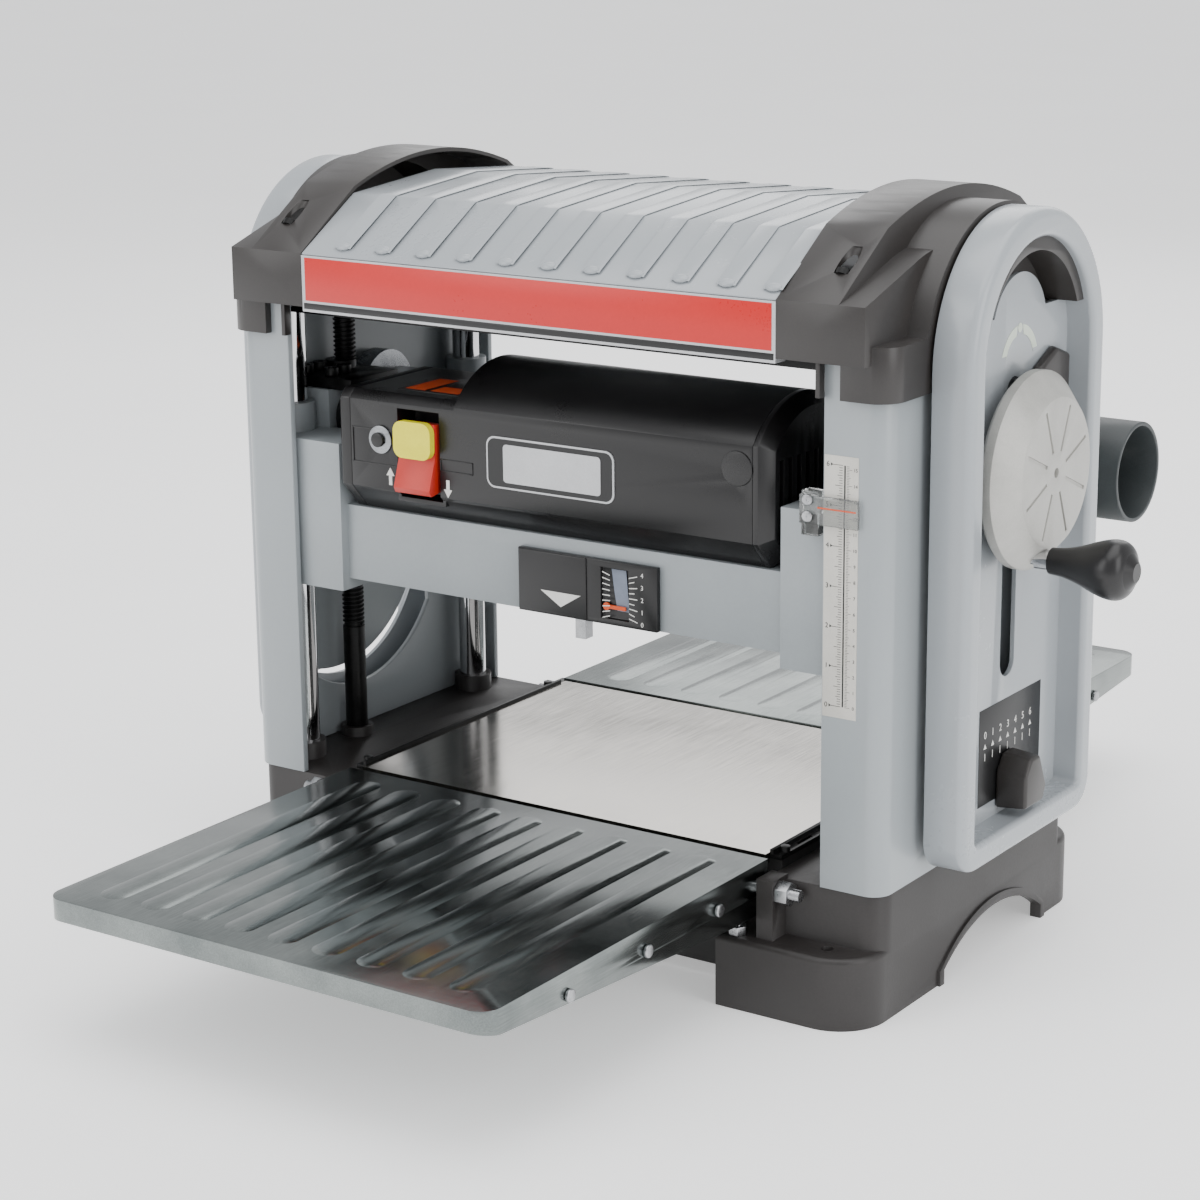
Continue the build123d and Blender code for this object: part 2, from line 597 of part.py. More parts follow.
def corner_cover():
    """Moulded cover over the head of a side: beam, sloping wedge, arch, skirt and the grip lining."""
    lobe_r = PANEL_HALF_Y + 8
    low = COVER_SKIRT_BOTTOM - 19
    beam = slab_x(lobe_outline(COVER_FRONT_Y, COVER_CREASE, COVER_TOP), COVER_INNER, COVER_STEP)
    wedge = slab_x(lobe_outline(COVER_FRONT_Y, COVER_CREASE, COVER_CREASE + 26), COVER_INNER,
                   COVER_STEP + 18)
    arch = slab_x(round_lobe(lobe_r, COVER_SKIRT_BOTTOM), COVER_STEP - 4, COVER_OUTER)
    plan = Pos((FRONT_FLANGE_X - 3 + COVER_OUTER) / 2, 0) * Rectangle(
        COVER_OUTER - FRONT_FLANGE_X + 3, 2 * COVER_SKIRT_Y)
    plan = fillet(plan.vertices().sort_by(Axis.X)[-2:], FRAME_CORNER_R + 4)
    skirt = Pos(0, 0, COVER_SKIRT_BOTTOM) * extrude(plan, 34)
    core = slab_x(lobe_outline(COVER_FRONT_Y, COVER_CREASE, COVER_TOP, COVER_WALL, low), COVER_INNER - 1,
                  COVER_STEP - COVER_WALL)
    core += slab_x(round_lobe(lobe_r - COVER_WALL, low), COVER_STEP - 20, COVER_OUTER - COVER_WALL)
    hollow_x = FRAME_OUTER + 0.2
    plan_in = Pos(hollow_x - 52.6, 0) * Rectangle(105.2, 2 * (FRAME_FRONT_Y + 0.3))
    plan_in = fillet(plan_in.vertices().sort_by(Axis.X)[-2:], FRAME_CORNER_R)
    core += Pos(0, 0, low) * extrude(plan_in, FRAME_TOP + 0.3 - low)
    core &= box((0, COVER_OUTER), (-COVER_FRONT_Y, COVER_FRONT_Y), (low, COVER_TOP + 87)) - cover_front_web()
    outer = beam + wedge + arch + skirt - core
    for y in (-1, 1):
        outer -= screw_recess(y)
    grip = grip_tool(COVER_OUTER - 1, PANEL_OUTER - 6) - slab_x(
        arch_outline(PANEL_RIM + GRIP_THICK, PANEL_BOTTOM), COVER_OUTER - 2, PANEL_OUTER)
    return outer + grip


def cover_front_web():
    """Material kept between the front and rear walls of the cover and the heads of the columns."""
    web = box((COVER_INNER - 5, FRONT_FLANGE_X), (-COVER_FRONT_Y - 3, -FRAME_FRONT_Y),
              (COVER_SKIRT_BOTTOM - 19, COVER_BEAM_BOTTOM))
    return web + rear_of(web)


def cover_screw_seat(side):
    """Place on the sloping face of the right cover where its screw sits, with +Z along the screw."""
    spot = Pos(COVER_STEP - 12, COVER_SCREW_Y * side, COVER_CREASE + 13)
    return spot * Rot(COVER_SCREW_TILT * side, 0, 0)


def screw_recess(side):
    """Counterbored hole through the sloping face of the cover."""
    seat = cover_screw_seat(side)
    return seat * (Pos(0, 0, 12) * Cylinder(5.5, 24)) + seat * (Pos(0, 0, -8) * Cylinder(2.6, 40))


def cover_screws():
    found = []
    for y in (-1, 1):
        screw = Pos(0, 0, 2) * Cylinder(4.6, 4) + Pos(0, 0, -7) * Cylinder(2.5, 18)
        screw -= Pos(0, 0, 3.5) * Box(6, 1.2, 2) + Pos(0, 0, 3.5) * Box(1.2, 6, 2)
        found += both_sides(cover_screw_seat(y) * screw)
    return found


def top_tie():
    """Folded steel channel that joins the heads of the columns and screws."""
    x, y = COLUMN_X + 14, COLUMN_Y + 16
    body = box((-x, x), (-y, y), (TIE_BOTTOM, TIE_BOTTOM + TIE_SHEET))
    for side in (-1, 1):
        body += box((-x, x), (side * y, side * (y - TIE_SHEET)), (TIE_BOTTOM, TIE_TOP))
    body -= box((-HOUSING_HALF - 8, HOUSING_HALF + 8), (-y + TIE_SHEET + 3, y - TIE_SHEET - 3),
                (TIE_BOTTOM - 1, TIE_TOP))
    for cx, cy, r in ((COLUMN_X, COLUMN_Y, COLUMN_R), (COLUMN_X, -COLUMN_Y, COLUMN_R),
                      (SCREW_X, SCREW_Y, SCREW_R)):
        for side in (-1, 1):
            body += rod("z", (side * cx, cy, TIE_BOTTOM), r + 4, HEAD_SOCKET + 4)
            body -= rod("z", (side * cx, cy, TIE_BOTTOM - 1), r, HEAD_SOCKET + 1)
    return body & box((-x, x), (-y, y), (TIE_BOTTOM, TIE_TOP))


def top_outline(inset, bottom):
    f, t = COVER_FRONT_Y - 0.5 - inset, TOP_HEIGHT - inset
    c, k = COVER_CREASE - inset * 0.5, TOP_CREASE_Z - inset * 0.9
    return polygon((-f, bottom), (-f, c), (-TOP_CREASE_Y, k), (0, t), (TOP_CREASE_Y, k), (f, c), (f, bottom))


def top_cover():
    half = COVER_INNER - 0.3
    body = slab_x(top_outline(0, COVER_CREASE - 1), -half, half)
    body -= slab_x(top_outline(TOP_SHEET, COVER_CREASE - 5), -half - 1, half + 1)
    return body


def banner_plate():
    half = COVER_INNER - 0.3
    plate = box((-half, half), (-COVER_FRONT_Y, -COVER_FRONT_Y + 3), (BANNER_BOTTOM, COVER_CREASE - 1.2))
    lip = box((-half, half), (-COVER_FRONT_Y, -COVER_FRONT_Y + 12), (BANNER_BOTTOM, BANNER_BOTTOM + 2.5))
    return plate + lip


# ---------------------------------------------------------------- carriage
def carriage_casting():
    """Both end walls with their column bosses and nut housings, and the beams and deck between them."""
    body = box((END_WALL_IN, END_WALL_OUT), (-BOX_FRONT_Y, BOX_FRONT_Y), (BOX_BOTTOM, END_WALL_TOP))
    boss = box((END_WALL_IN, BOSS_OUTER), (-BOX_FRONT_Y, -BOX_BACK_Y), (BOX_BOTTOM, BOX_TOP))
    boss += rod("z", (COLUMN_X, -COLUMN_Y, BOX_BOTTOM), BOSS_R, BOSS_TOP - BOX_BOTTOM)
    boss &= box((0, BOSS_OUTER), (-BOX_FRONT_Y, 0), (0, TIE_TOP))
    boss = chamfer(boss.edges().filter_by(Axis.Z).sort_by(Axis.X)[-4:].sort_by(Axis.Y)[0], BOSS_CORNER)
    inside = box((END_WALL_OUT + 4, COLUMN_X - BOSS_R), (-BOX_FRONT_Y + BOX_WALL, -BOX_BACK_Y + 1),
                 (BOX_BOTTOM - 1, BOX_TOP - BOX_WALL - 1))
    boss -= inside
    body += boss + rear_of(boss)
    x_low, (y_low, y_high), (z_low, z_high) = NUT_BLOCK_X, NUT_BLOCK_Y, NUT_BLOCK_Z
    body += box((x_low, BOSS_OUTER), (-BOX_BACK_Y - 1, y_high), (z_low, z_high))
    body += box((x_low, BOSS_OUTER), (y_high - 1, BOX_BACK_Y + 1), (z_low, WHEEL_Z - LIFT_GEAR_R + 4))
    shaft_boss = (-SHAFT_BOSS_HALF, SHAFT_BOSS_HALF)
    body += box((END_WALL_IN, END_WALL_OUT), shaft_boss, (z_low - 2, WHEEL_Z + 14))
    body += box((END_WALL_OUT - 1, BOSS_OUTER), shaft_boss, (z_low + 15, WHEEL_Z + 14))
    body += box((END_WALL_OUT - 1, x_low + 1), (-BOX_BACK_Y - 1, -BOX_BACK_Y + 3), (z_low, BOX_TOP))
    body -= rod("x", (SCREW_X - LIFT_GEAR_WIDTH / 2 - 0.6, 0, WHEEL_Z), LIFT_GEAR_R + 0.6,
                LIFT_GEAR_WIDTH + 1.2)
    body -= rod("z", (SCREW_X, SCREW_Y, z_low + 12), NUT_GEAR_R + 0.5, 60)
    body -= rod("z", (SCREW_X, SCREW_Y, z_low - 1), SCREW_R + 0.8, 60)
    body -= rod("x", (END_WALL_IN - 5, 0, WHEEL_Z), SHAFT_R + RUN, BOSS_OUTER - END_WALL_IN + 10)
    body -= rod("x", (END_WALL_IN - 1, 0, HEAD_Z), BEARING_R, 30)
    for side in (-1, 1):
        body -= rod("z", (COLUMN_X, side * COLUMN_Y, 0), COLUMN_R + RUN, TIE_TOP)
        body -= roller_slot(side)
    body += left_of(body)
    half_x = END_WALL_IN + 1
    for side in (-1, 1):
        body += box((-half_x, half_x), (side * BEAM_FRONT_Y, side * (BEAM_FRONT_Y - BEAM_WALL)),
                    (BEAM_BOTTOM, BEAM_TOP))
    body += box((-half_x, half_x), (-BEAM_FRONT_Y, BEAM_FRONT_Y), (BEAM_TOP, BEAM_TOP + DECK_THICK))
    body -= box((-HOOD_HALF, HOOD_HALF), CHIP_SLOT, (BEAM_TOP - 2, BEAM_TOP + DECK_THICK + 2))
    seat_x = (GAUGE_X[0] + GAUGE_LEDGE, GAUGE_X[1] - GAUGE_LEDGE)
    seat_z = (GAUGE_Z[0] - 1, GAUGE_Z[1] - GAUGE_LEDGE)
    return body - box(seat_x, (-BEAM_FRONT_Y - 1, -BEAM_FRONT_Y + 8), seat_z)


def roller_slot(side):
    """Open-bottomed slot in the end wall for a sprung roller block."""
    half = BLOCK_WIDTH / 2 + 0.3
    y = side * ROLLER_Y
    return box((END_WALL_IN - 1, END_WALL_OUT + 1), (y - half, y + half), (BOX_BOTTOM - 1, SPRING_ROOF))


def roller_blocks(side):
    """Pair of bearing blocks that carry a roller and slide in the end walls' slots."""
    y = side * ROLLER_Y
    low = BOX_BOTTOM + 0.5
    block = box((END_WALL_IN + 1, END_WALL_OUT - 1), (y - BLOCK_WIDTH / 2, y + BLOCK_WIDTH / 2),
                (low, low + BLOCK_HEIGHT))
    block -= rod("x", (END_WALL_IN - 5, y, ROLLER_Z), ROLLER_JOURNAL_R + RUN, 30)
    block -= rod("z", (END_WALL_IN + 8, y, low + BLOCK_HEIGHT - SPRING_SEAT), SPRING_SEAT_R, SPRING_SEAT + 2)
    return both_sides(block)


def roller_springs():
    found = []
    low = BOX_BOTTOM + 0.5 + BLOCK_HEIGHT - SPRING_SEAT
    for side in (-1, 1):
        coil = Helix(pitch=4.2, height=SPRING_ROOF - low - 1.6, radius=3.9, center=(0, 0, 0))
        wire = sweep(Plane(coil @ 0, z_dir=coil % 0) * Circle(SPRING_WIRE_R), path=coil)
        for x in (-1, 1):
            found.append(Pos(x * (END_WALL_IN + 8), side * ROLLER_Y, low + 0.8) * wire)
    return found


def roller(side):
    """Rubber-covered feed roller with its steel journals and a chain sprocket on the right."""
    y = side * ROLLER_Y
    body = rod("x", (-ROLLER_HALF, y, ROLLER_Z), ROLLER_R, 2 * ROLLER_HALF)
    left, right = -END_WALL_OUT - 2, CHAIN_X + 5
    body += rod("x", (left, y, ROLLER_Z), ROLLER_JOURNAL_R, right - left)
    return body + sprocket(y, ROLLER_Z)


def sprocket(y, z):
    teeth = Circle(SPROCKET_R - 0.4)
    step = 360 / SPROCKET_TEETH
    for i in range(SPROCKET_TEETH):
        teeth -= Rot(0, 0, i * step) * Pos(SPROCKET_R, 0) * Circle(1.7)
    return slab_x(Pos(y, z) * teeth, CHAIN_X - 2, CHAIN_X + 2)


def cutterhead():
    body = rod("x", (-HEAD_HALF, 0, HEAD_Z), HEAD_R, 2 * HEAD_HALF)
    body += rod("x", (-BELT_X - BELT_WIDTH / 2 - 2, 0, HEAD_Z), JOURNAL_R,
                BELT_X + BELT_WIDTH / 2 + 2 + END_WALL_OUT + 7)
    for seat in insert_places():
        body -= seat * Pos(0, 0, 1.5) * Box(INSERT + 0.6, INSERT + 0.6, 6)
    pulley = rod("x", (-BELT_X - BELT_WIDTH / 2, 0, HEAD_Z), HEAD_PULLEY_R, BELT_WIDTH)
    return body + pulley


def insert_places():
    """Seats of the square carbide inserts, in slow spirals round the cutterhead."""
    found = []
    pitch = 2 * (HEAD_HALF - 10) / INSERTS_IN_ROW
    for row in range(INSERT_ROWS):
        for i in range(INSERTS_IN_ROW):
            x = -HEAD_HALF + 10 + pitch * (i + 0.5) + pitch * (row / INSERT_ROWS - 0.4)
            angle = 360 * row / INSERT_ROWS + 9 * i
            found.append(Pos(x, 0, HEAD_Z) * Rot(angle, 0, 0) * Pos(0, 0, HEAD_R - 1))
    return found


def cutter_inserts():
    """Four-sided inserts, each with its countersunk screw hole, standing proud to the cutting circle."""
    tip = Box(INSERT, INSERT, INSERT_THICK) - Cylinder(2.2, 3) - Pos(0, 0, 0.9) * Cone(2.2, 3.4, 1.0)
    return [seat * Pos(0, 0, -0.2) * tip for seat in insert_places()]


def head_bearings():
    found = []
    for x in (END_WALL_IN + 1, -END_WALL_OUT + 1):
        ring = rod("x", (x, 0, HEAD_Z), BEARING_R, BEARING_WIDE)
        ring -= rod("x", (x - 1, 0, HEAD_Z), JOURNAL_R + 0.03, BEARING_WIDE + 2)
        face = x + BEARING_WIDE - 1.5
        ring -= rod("x", (face, 0, HEAD_Z), BEARING_R - 3, 2) - rod("x", (face, 0, HEAD_Z), JOURNAL_R + 3, 3)
        found.append(ring)
    return found


def band_loop(circles, thick, x, width):
    """A belt or chain as one closed loop round two wheels given as (y, z, r)."""
    (y0, z0, r0), (y1, z1, r1) = circles
    outer = make_hull(((Pos(y0, z0) * Circle(r0 + thick)).edges()
                       + (Pos(y1, z1) * Circle(r1 + thick)).edges()))
    inner = make_hull(((Pos(y0, z0) * Circle(r0)).edges() + (Pos(y1, z1) * Circle(r1)).edges()))
    return slab_x(outer - inner, x - width / 2, x + width / 2)


def drive_belt():
    wheels = ((MOTOR_Y, MOTOR_Z, MOTOR_PULLEY_R + 0.2), (0, HEAD_Z, HEAD_PULLEY_R + 0.2))
    return band_loop(wheels, BELT_THICK, -BELT_X, BELT_WIDTH - 1)


def drive_cover():
    """Dark cover round the belt, open towards the end wall."""
    wheels = ((MOTOR_Y, MOTOR_Z, MOTOR_PULLEY_R + 5), (0, HEAD_Z, HEAD_PULLEY_R + 5))
    ring = band_loop(wheels, 2.5, -BELT_X - 1.5, 21)
    wheels_out = ((MOTOR_Y, MOTOR_Z, MOTOR_PULLEY_R + 7.5), (0, HEAD_Z, HEAD_PULLEY_R + 7.5))
    lid = slab_x(make_hull([(Pos(y, z) * Circle(r)).edges()[0] for y, z, r in wheels_out]),
                 -BELT_X - 12, -BELT_X - 9.5)
    return ring + lid - rod("x", (-BELT_X - 30, 0, HEAD_Z), 4, 20)


def feed_chain():
    wheels = ((-ROLLER_Y, ROLLER_Z, SPROCKET_R + 0.3), (ROLLER_Y, ROLLER_Z, SPROCKET_R + 0.3))
    return band_loop(wheels, 3.0, CHAIN_X, CHAIN_WIDE)


def feed_gearbox():
    """Closed reduction gearbox on the right end wall, over the cutterhead's journal."""
    top = END_WALL_TOP - 4
    body = box((END_WALL_OUT, END_WALL_OUT + 7), (-30, 30), (HEAD_Z - BEARING_R - 4, top))
    body += box((END_WALL_OUT, END_WALL_OUT + 22), (-26, 26), (ROLLER_Z + SPROCKET_R + 6, top))
    return body - rod("x", (END_WALL_OUT - 1, 0, HEAD_Z), JOURNAL_R + 1.5, 20)


# ---------------------------------------------------------------- motor
def housing_outline(inset=0.0, dome=True):
    """Motor housing profile in (Y, Z): upright front face, chamfer below, low top or dome."""
    front, back = -HOUSING_FRONT_Y + inset, HOUSING_BACK_Y - inset
    low, knee = HOUSING_BOTTOM + inset, HOUSING_FRONT_LOW + inset * 0.4
    high = HOUSING_FRONT_HIGH - inset * 0.5
    chamfer_y = front + 16
    if dome:
        top = ThreePointArc((front, high), (MOTOR_Y, HOUSING_DOME_TOP - inset), (back, HOUSING_BACK_TOP))
        rest = Polyline((back, HOUSING_BACK_TOP), (back, low), (chamfer_y, low), (front, knee), (front, high))
        return make_face([top, rest])
    flat = HOUSING_FLAT_TOP - inset
    return polygon((front, high - 2), (front + 6, flat), (back - 26, flat), (back, HOUSING_BACK_TOP),
                   (back, low), (chamfer_y, low), (front, knee))


def motor_housing():
    """Moulded shell with the sunk pockets for the switch, the reset button and the brush cap."""
    outer = slab_x(housing_outline(), DOME_START_X, GRILLE_X)
    outer += slab_x(housing_outline(dome=False), CAP_SEAM_X + 0.3, DOME_START_X + 1)
    inner = slab_x(housing_outline(HOUSING_WALL), DOME_START_X + 3, GRILLE_X + 1)
    inner += slab_x(housing_outline(HOUSING_WALL, dome=False), CAP_SEAM_X - 1, DOME_START_X + 4)
    body = outer - inner
    front = -HOUSING_FRONT_Y
    half = PADDLE_POCKET / 2
    low, high = PADDLE_BOTTOM - 4, PADDLE_TOP + 6
    body -= box((PADDLE_X - half, PADDLE_X + half), (front - 1, front + 18), (low, high))
    wide = half + 2.5
    pocket = box((PADDLE_X - wide, PADDLE_X + wide), (front + 2.5, front + 22), (low - 3, high + 3))
    pocket -= box((PADDLE_X - half, PADDLE_X + half), (front - 1, front + 19.5), (low, high))
    body += pocket
    for x in (PADDLE_X - half - 1.5, PADDLE_X + half - 2):
        body += box((x, x + 3.5), (front + 6, front + 18), (PADDLE_PIN_Z - 8, PADDLE_PIN_Z + 8))
    body -= rod("x", (PADDLE_X - half - 1, front + 11, PADDLE_PIN_Z), PADDLE_PIN_R + RUN, PADDLE_POCKET + 2)
    body += rod("y", (RESET_X, front + 2, RESET_Z), RESET_R + 6, 16)
    body -= rod("y", (RESET_X, front - 1, RESET_Z), RESET_R + 0.3, 30)
    body -= rod("y", (BRUSH_X, front - 1, BRUSH_Z), BRUSH_R + GAP, 30)
    return body


def motor_end_cap():
    body = slab_x(housing_outline(dome=False), -HOUSING_HALF, CAP_SEAM_X)
    body = chamfer(body.faces().sort_by(Axis.X)[0].edges(), 3)
    body -= slab_x(housing_outline(HOUSING_WALL, dome=False), -HOUSING_HALF + 3, CAP_SEAM_X + 1)
    return body - rod("x", (-HOUSING_HALF - 5, MOTOR_Y, MOTOR_Z), 8, 20)


def motor_grille():
    """Right end of the housing: a tapered cap with upright slots over the fan."""
    face = HOUSING_HALF - GRILLE_FACE
    body = slab_x(housing_outline(), GRILLE_X + 0.3, HOUSING_HALF - GRILLE_TAPER)
    body += loft([Plane.YZ.offset(HOUSING_HALF - GRILLE_TAPER) * housing_outline(),
                  Plane.YZ.offset(HOUSING_HALF) * housing_outline(GRILLE_TAPER)])
    body -= slab_x(housing_outline(HOUSING_WALL), GRILLE_X - 1, face)
    for i in range(GRILLE_SLOTS):
        y = -HOUSING_FRONT_Y + 13 + i * 10.5
        body -= box((face - 1, HOUSING_HALF + 1), (y, y + 5), (HOUSING_BOTTOM + 16, HOUSING_BOTTOM + 70))
    return body


def stator():
    low, high = STATOR_X
    bore = ARMATURE_R + 2
    ring = rod("x", (low, MOTOR_Y, MOTOR_Z), STATOR_R, high - low) \
        - rod("x", (low - 1, MOTOR_Y, MOTOR_Z), bore, high - low + 2)
    feet = box((low + 5, high - 5), (MOTOR_Y - 20, MOTOR_Y + 20),
               (HOUSING_BOTTOM + HOUSING_WALL, MOTOR_Z - STATOR_R + 4))
    return ring + feet


def armature():
    """Shaft, laminated core, commutator and the small belt pulley on one axis."""
    low, high = STATOR_X
    start = -BELT_X - BELT_WIDTH / 2
    body = rod("x", (start - 2, MOTOR_Y, MOTOR_Z), MOTOR_SHAFT_R, SHAFT_END_X - start + 2)
    body += rod("x", (low + 2, MOTOR_Y, MOTOR_Z), ARMATURE_R, high - low - 4)
    body += rod("x", (high + 12, MOTOR_Y, MOTOR_Z), ARMATURE_R - 7, 24)
    return body + rod("x", (start, MOTOR_Y, MOTOR_Z), MOTOR_PULLEY_R, BELT_WIDTH)


def motor_fan():
    fan = rod("x", (FAN_X, MOTOR_Y, MOTOR_Z), 12, 14) + rod("x", (FAN_X, MOTOR_Y, MOTOR_Z), FAN_R, 2)
    for i in range(FAN_BLADES):
        blade = box((FAN_X + 1.9, FAN_X + 13), (0, 2), (11, FAN_R - 1))
        fan += Pos(0, MOTOR_Y, MOTOR_Z) * Rot(i * 360 / FAN_BLADES, 0, 0) * blade
    return fan - rod("x", (FAN_X - 1, MOTOR_Y, MOTOR_Z), MOTOR_SHAFT_R, 20)


def brush_caps():
    front = -HOUSING_FRONT_Y
    cap = rod("y", (BRUSH_X, front + 1.5, BRUSH_Z), BRUSH_R, 26)
    return cap - box((BRUSH_X - 6, BRUSH_X + 6), (front, front + 3.5), (BRUSH_Z - 0.9, BRUSH_Z + 0.9))


def switch_paddle():
    """Rocking paddle: its lower end stands out as the stop side, and the key plugs into its face."""
    front = -HOUSING_FRONT_Y
    half = PADDLE_WIDTH / 2
    low, high = PADDLE_BOTTOM, PADDLE_TOP
    side = polygon((front + 13, low + 4), (front - 7, low + 1), (front - 9, low + 5),
                   (front - 2, PADDLE_PIN_Z), (front - 2, high - 2), (front + 13, high - 4))
    body = slab_x(side, PADDLE_X - half, PADDLE_X + half)
    body = fillet(body.edges().filter_by(Axis.X).sort_by(Axis.Y)[:2], 1.5)
    pin = half + 2.6
    body += rod("x", (PADDLE_X - pin, front + 11, PADDLE_PIN_Z), PADDLE_PIN_R, 2 * pin)
    return body - key_stem(front - 20, front + 6, 0.3)


def key_stem(y0, y1, grow=0.0):
    """Stem of the key, or with grow its socket in the paddle."""
    wide, high = KEY_STEM
    z = KEY_Z - 1
    return box((PADDLE_X - wide / 2 - grow, PADDLE_X + wide / 2 + grow), (y0, y1),
               (z - high / 2 - grow, z + high / 2 + grow))


def safety_key():
    """Removable key that plugs into the paddle: a stem and a wide thumb plate."""
    front = -HOUSING_FRONT_Y
    plate = Pos(PADDLE_X, 0) * RectangleRounded(*KEY_PLATE, 7)
    thumb = Pos(0, front - 2.8, KEY_Z) * extrude(Plane.XZ * plate, 5, dir=(0, -1, 0))
    return key_stem(front - 3, front + 5.6) + thumb


def reset_button():
    """Button in its bore, with a collar behind that keeps it in."""
    front = -HOUSING_FRONT_Y
    body = rod("y", (RESET_X, front - 3.5, RESET_Z), RESET_R, 22)
    return body + rod("y", (RESET_X, front + 18.5, RESET_Z), RESET_R + 2, 2)


def cord_gland():
    """Strain relief collar where the mains lead would leave the back of the motor housing."""
    spot = (GLAND_X, HOUSING_BACK_Y, GLAND_Z)
    ring = rod("y", spot, 9, 14) + rod("y", spot, 12, 4)
    return ring - rod("y", (GLAND_X, HOUSING_BACK_Y + 3, GLAND_Z), 4, 30)


# ---------------------------------------------------------------- lift and handwheel
def lift_shaft():
    """Cross shaft from the handwheel to both lead nuts, with a helical gear at each end."""
    end = SCREW_X + 8
    body = rod("x", (-end, 0, WHEEL_Z), SHAFT_R, end + WHEEL_BACK + 4)
    for side in (-1, 1):
        body += rod("x", (side * SCREW_X - LIFT_GEAR_WIDTH / 2, 0, WHEEL_Z), LIFT_GEAR_R, LIFT_GEAR_WIDTH)
    return body


def lead_nut():
    """Bronze nut in its housing, with a toothed ring at the height of the cross shaft."""
    low = NUT_BLOCK_Z[0] + 12.3
    body = rod("z", (SCREW_X, SCREW_Y, low), NUT_GEAR_R - 1.2, NUT_BLOCK_Z[1] - low - GAP)
    body += rod("z", (SCREW_X, SCREW_Y, WHEEL_Z - 6), NUT_GEAR_R, 12)
    for i in range(NUT_GEAR_TEETH):
        tooth_gap = box((NUT_GEAR_R - 1, NUT_GEAR_R + 1), (-0.8, 0.8), (WHEEL_Z - 7, WHEEL_Z + 7))
        body -= Pos(SCREW_X, SCREW_Y) * Rot(0, 0, i * 360 / NUT_GEAR_TEETH) * tooth_gap
    return body - rod("z", (SCREW_X, SCREW_Y, low - 1), SCREW_R + RUN, 80)


def nut_flange():
    plate = box((NUT_BLOCK_X - 18, BOSS_OUTER), (-BOX_BACK_Y + 2, -LIFT_GEAR_R - 2),
                (NUT_BLOCK_Z[1], FLANGE_TOP))
    plate += rod("z", (SCREW_X - 1, SCREW_Y - 6, FLANGE_TOP - 1), 11, 7)
    for x, y in flange_bolt_places():
        plate -= rod("z", (x, y, NUT_BLOCK_Z[1] - 1), FLANGE_BOLT_R, 12)
    return plate - rod("z", (SCREW_X, SCREW_Y, NUT_BLOCK_Z[1] - 1), SCREW_R + 0.8, 30)


def flange_bolt_places():
    return [(x, SCREW_Y + y) for x in (NUT_BLOCK_X + 5, BOSS_OUTER - 7) for y in (-36, -22)]


def carriage_screws():
    """Socket screws of the flange plates."""
    found = []
    thick = FLANGE_TOP - NUT_BLOCK_Z[1]
    for x, y in flange_bolt_places():
        screw = rod("z", (x, y, NUT_BLOCK_Z[1]), FLANGE_BOLT_R, thick) + rod("z", (x, y, FLANGE_TOP), 5, 6)
        screw -= hexagon_prism("z", (x, y, FLANGE_TOP + 3), 4.5, 4)
        found += both_sides(screw)
    return found


def handwheel():
    """Dished cast wheel on the shaft's end, its face divided by eight grooves."""
    profile = polygon((WHEEL_BACK, 0), (WHEEL_BACK, WHEEL_R - 3), (WHEEL_BACK + 3, WHEEL_R),
                      (WHEEL_BACK + 9, WHEEL_R), (WHEEL_FACE, WHEEL_FACE_R), (WHEEL_FACE, 0))
    body = revolve(Plane.XZ * profile, Axis.X)
    pocket = polygon((WHEEL_BACK - 1, 20), (WHEEL_BACK - 1, WHEEL_R - 7), (WHEEL_BACK + 7, WHEEL_R - 7),
                     (WHEEL_FACE - 5, WHEEL_FACE_R - 4), (WHEEL_FACE - 5, 20))
    body -= revolve(Plane.XZ * pocket, Axis.X)
    for i in range(WHEEL_GROOVES):
        groove = box((WHEEL_FACE - 1.2, WHEEL_FACE + 1), (-1.2, 1.2), (14, WHEEL_FACE_R - 4))
        body -= Rot(i * 360 / WHEEL_GROOVES + 22, 0, 0) * groove
    body -= rod("x", (WHEEL_BACK - 1, 0, 0), SHAFT_R, 5)
    body -= rod("x", (WHEEL_FACE - 4, 0, 0), 3.2, 10)
    return Pos(0, 0, WHEEL_Z) * body - handwheel_stud()


def knob_centre():
    spot = Vector(0, KNOB_RADIUS, 0).rotate(Axis.X, KNOB_ANGLE)
    return spot.Y, spot.Z + WHEEL_Z


def handwheel_stud():
    """Fixed spindle of the knob, with a collar that seats in the wheel's face."""
    y, z = knob_centre()
    body = rod("x", (WHEEL_BACK + 6, y, z), STUD_R, STUD_END - WHEEL_BACK - 6)
    return body + rod("x", (WHEEL_FACE - 6, y, z), 6.5, 9)


def handwheel_knob():
    y, z = knob_centre()
    start = WHEEL_FACE + 4
    points = [(0, 8.5), (6, 9), (22, 13), (38, KNOB_R - 0.5), (46, KNOB_R), (KNOB_LENGTH - 4, 12)]
    curve = Spline(*points, tangents=[(1, 0.1), (0.35, -1)])
    close = Polyline((KNOB_LENGTH - 4, 12), (KNOB_LENGTH, 6), (KNOB_LENGTH, 0), (0, 0), (0, 8.5))
    body = revolve(Plane.XZ * make_face([curve, close]), Axis.X)
    body = Pos(start, y, z) * body
    return body - rod("x", (start - 1, y, z), STUD_R + RUN, STUD_END - start + 1.5)


def lock_lever():
    """Head lock: a pin through the panel and a wedge grip that turns close to the panel's floor."""
    pin = rod("x", (PANEL_BACK - 4, LEVER_Y, LEVER_Z), LEVER_PIN_R, PANEL_FLOOR + 4 - PANEL_BACK)
    wedge = [(-21, 7), (4, 18), (24, 11), (24, -15), (14, -17), (-4, -6), (-16, -2)]
    outline = polygon(*[(LEVER_Y + y, LEVER_Z + z) for y, z in wedge])
    low = PANEL_FLOOR + GAP
    return pin + slab_x(outline, low, low + LEVER_THICK)


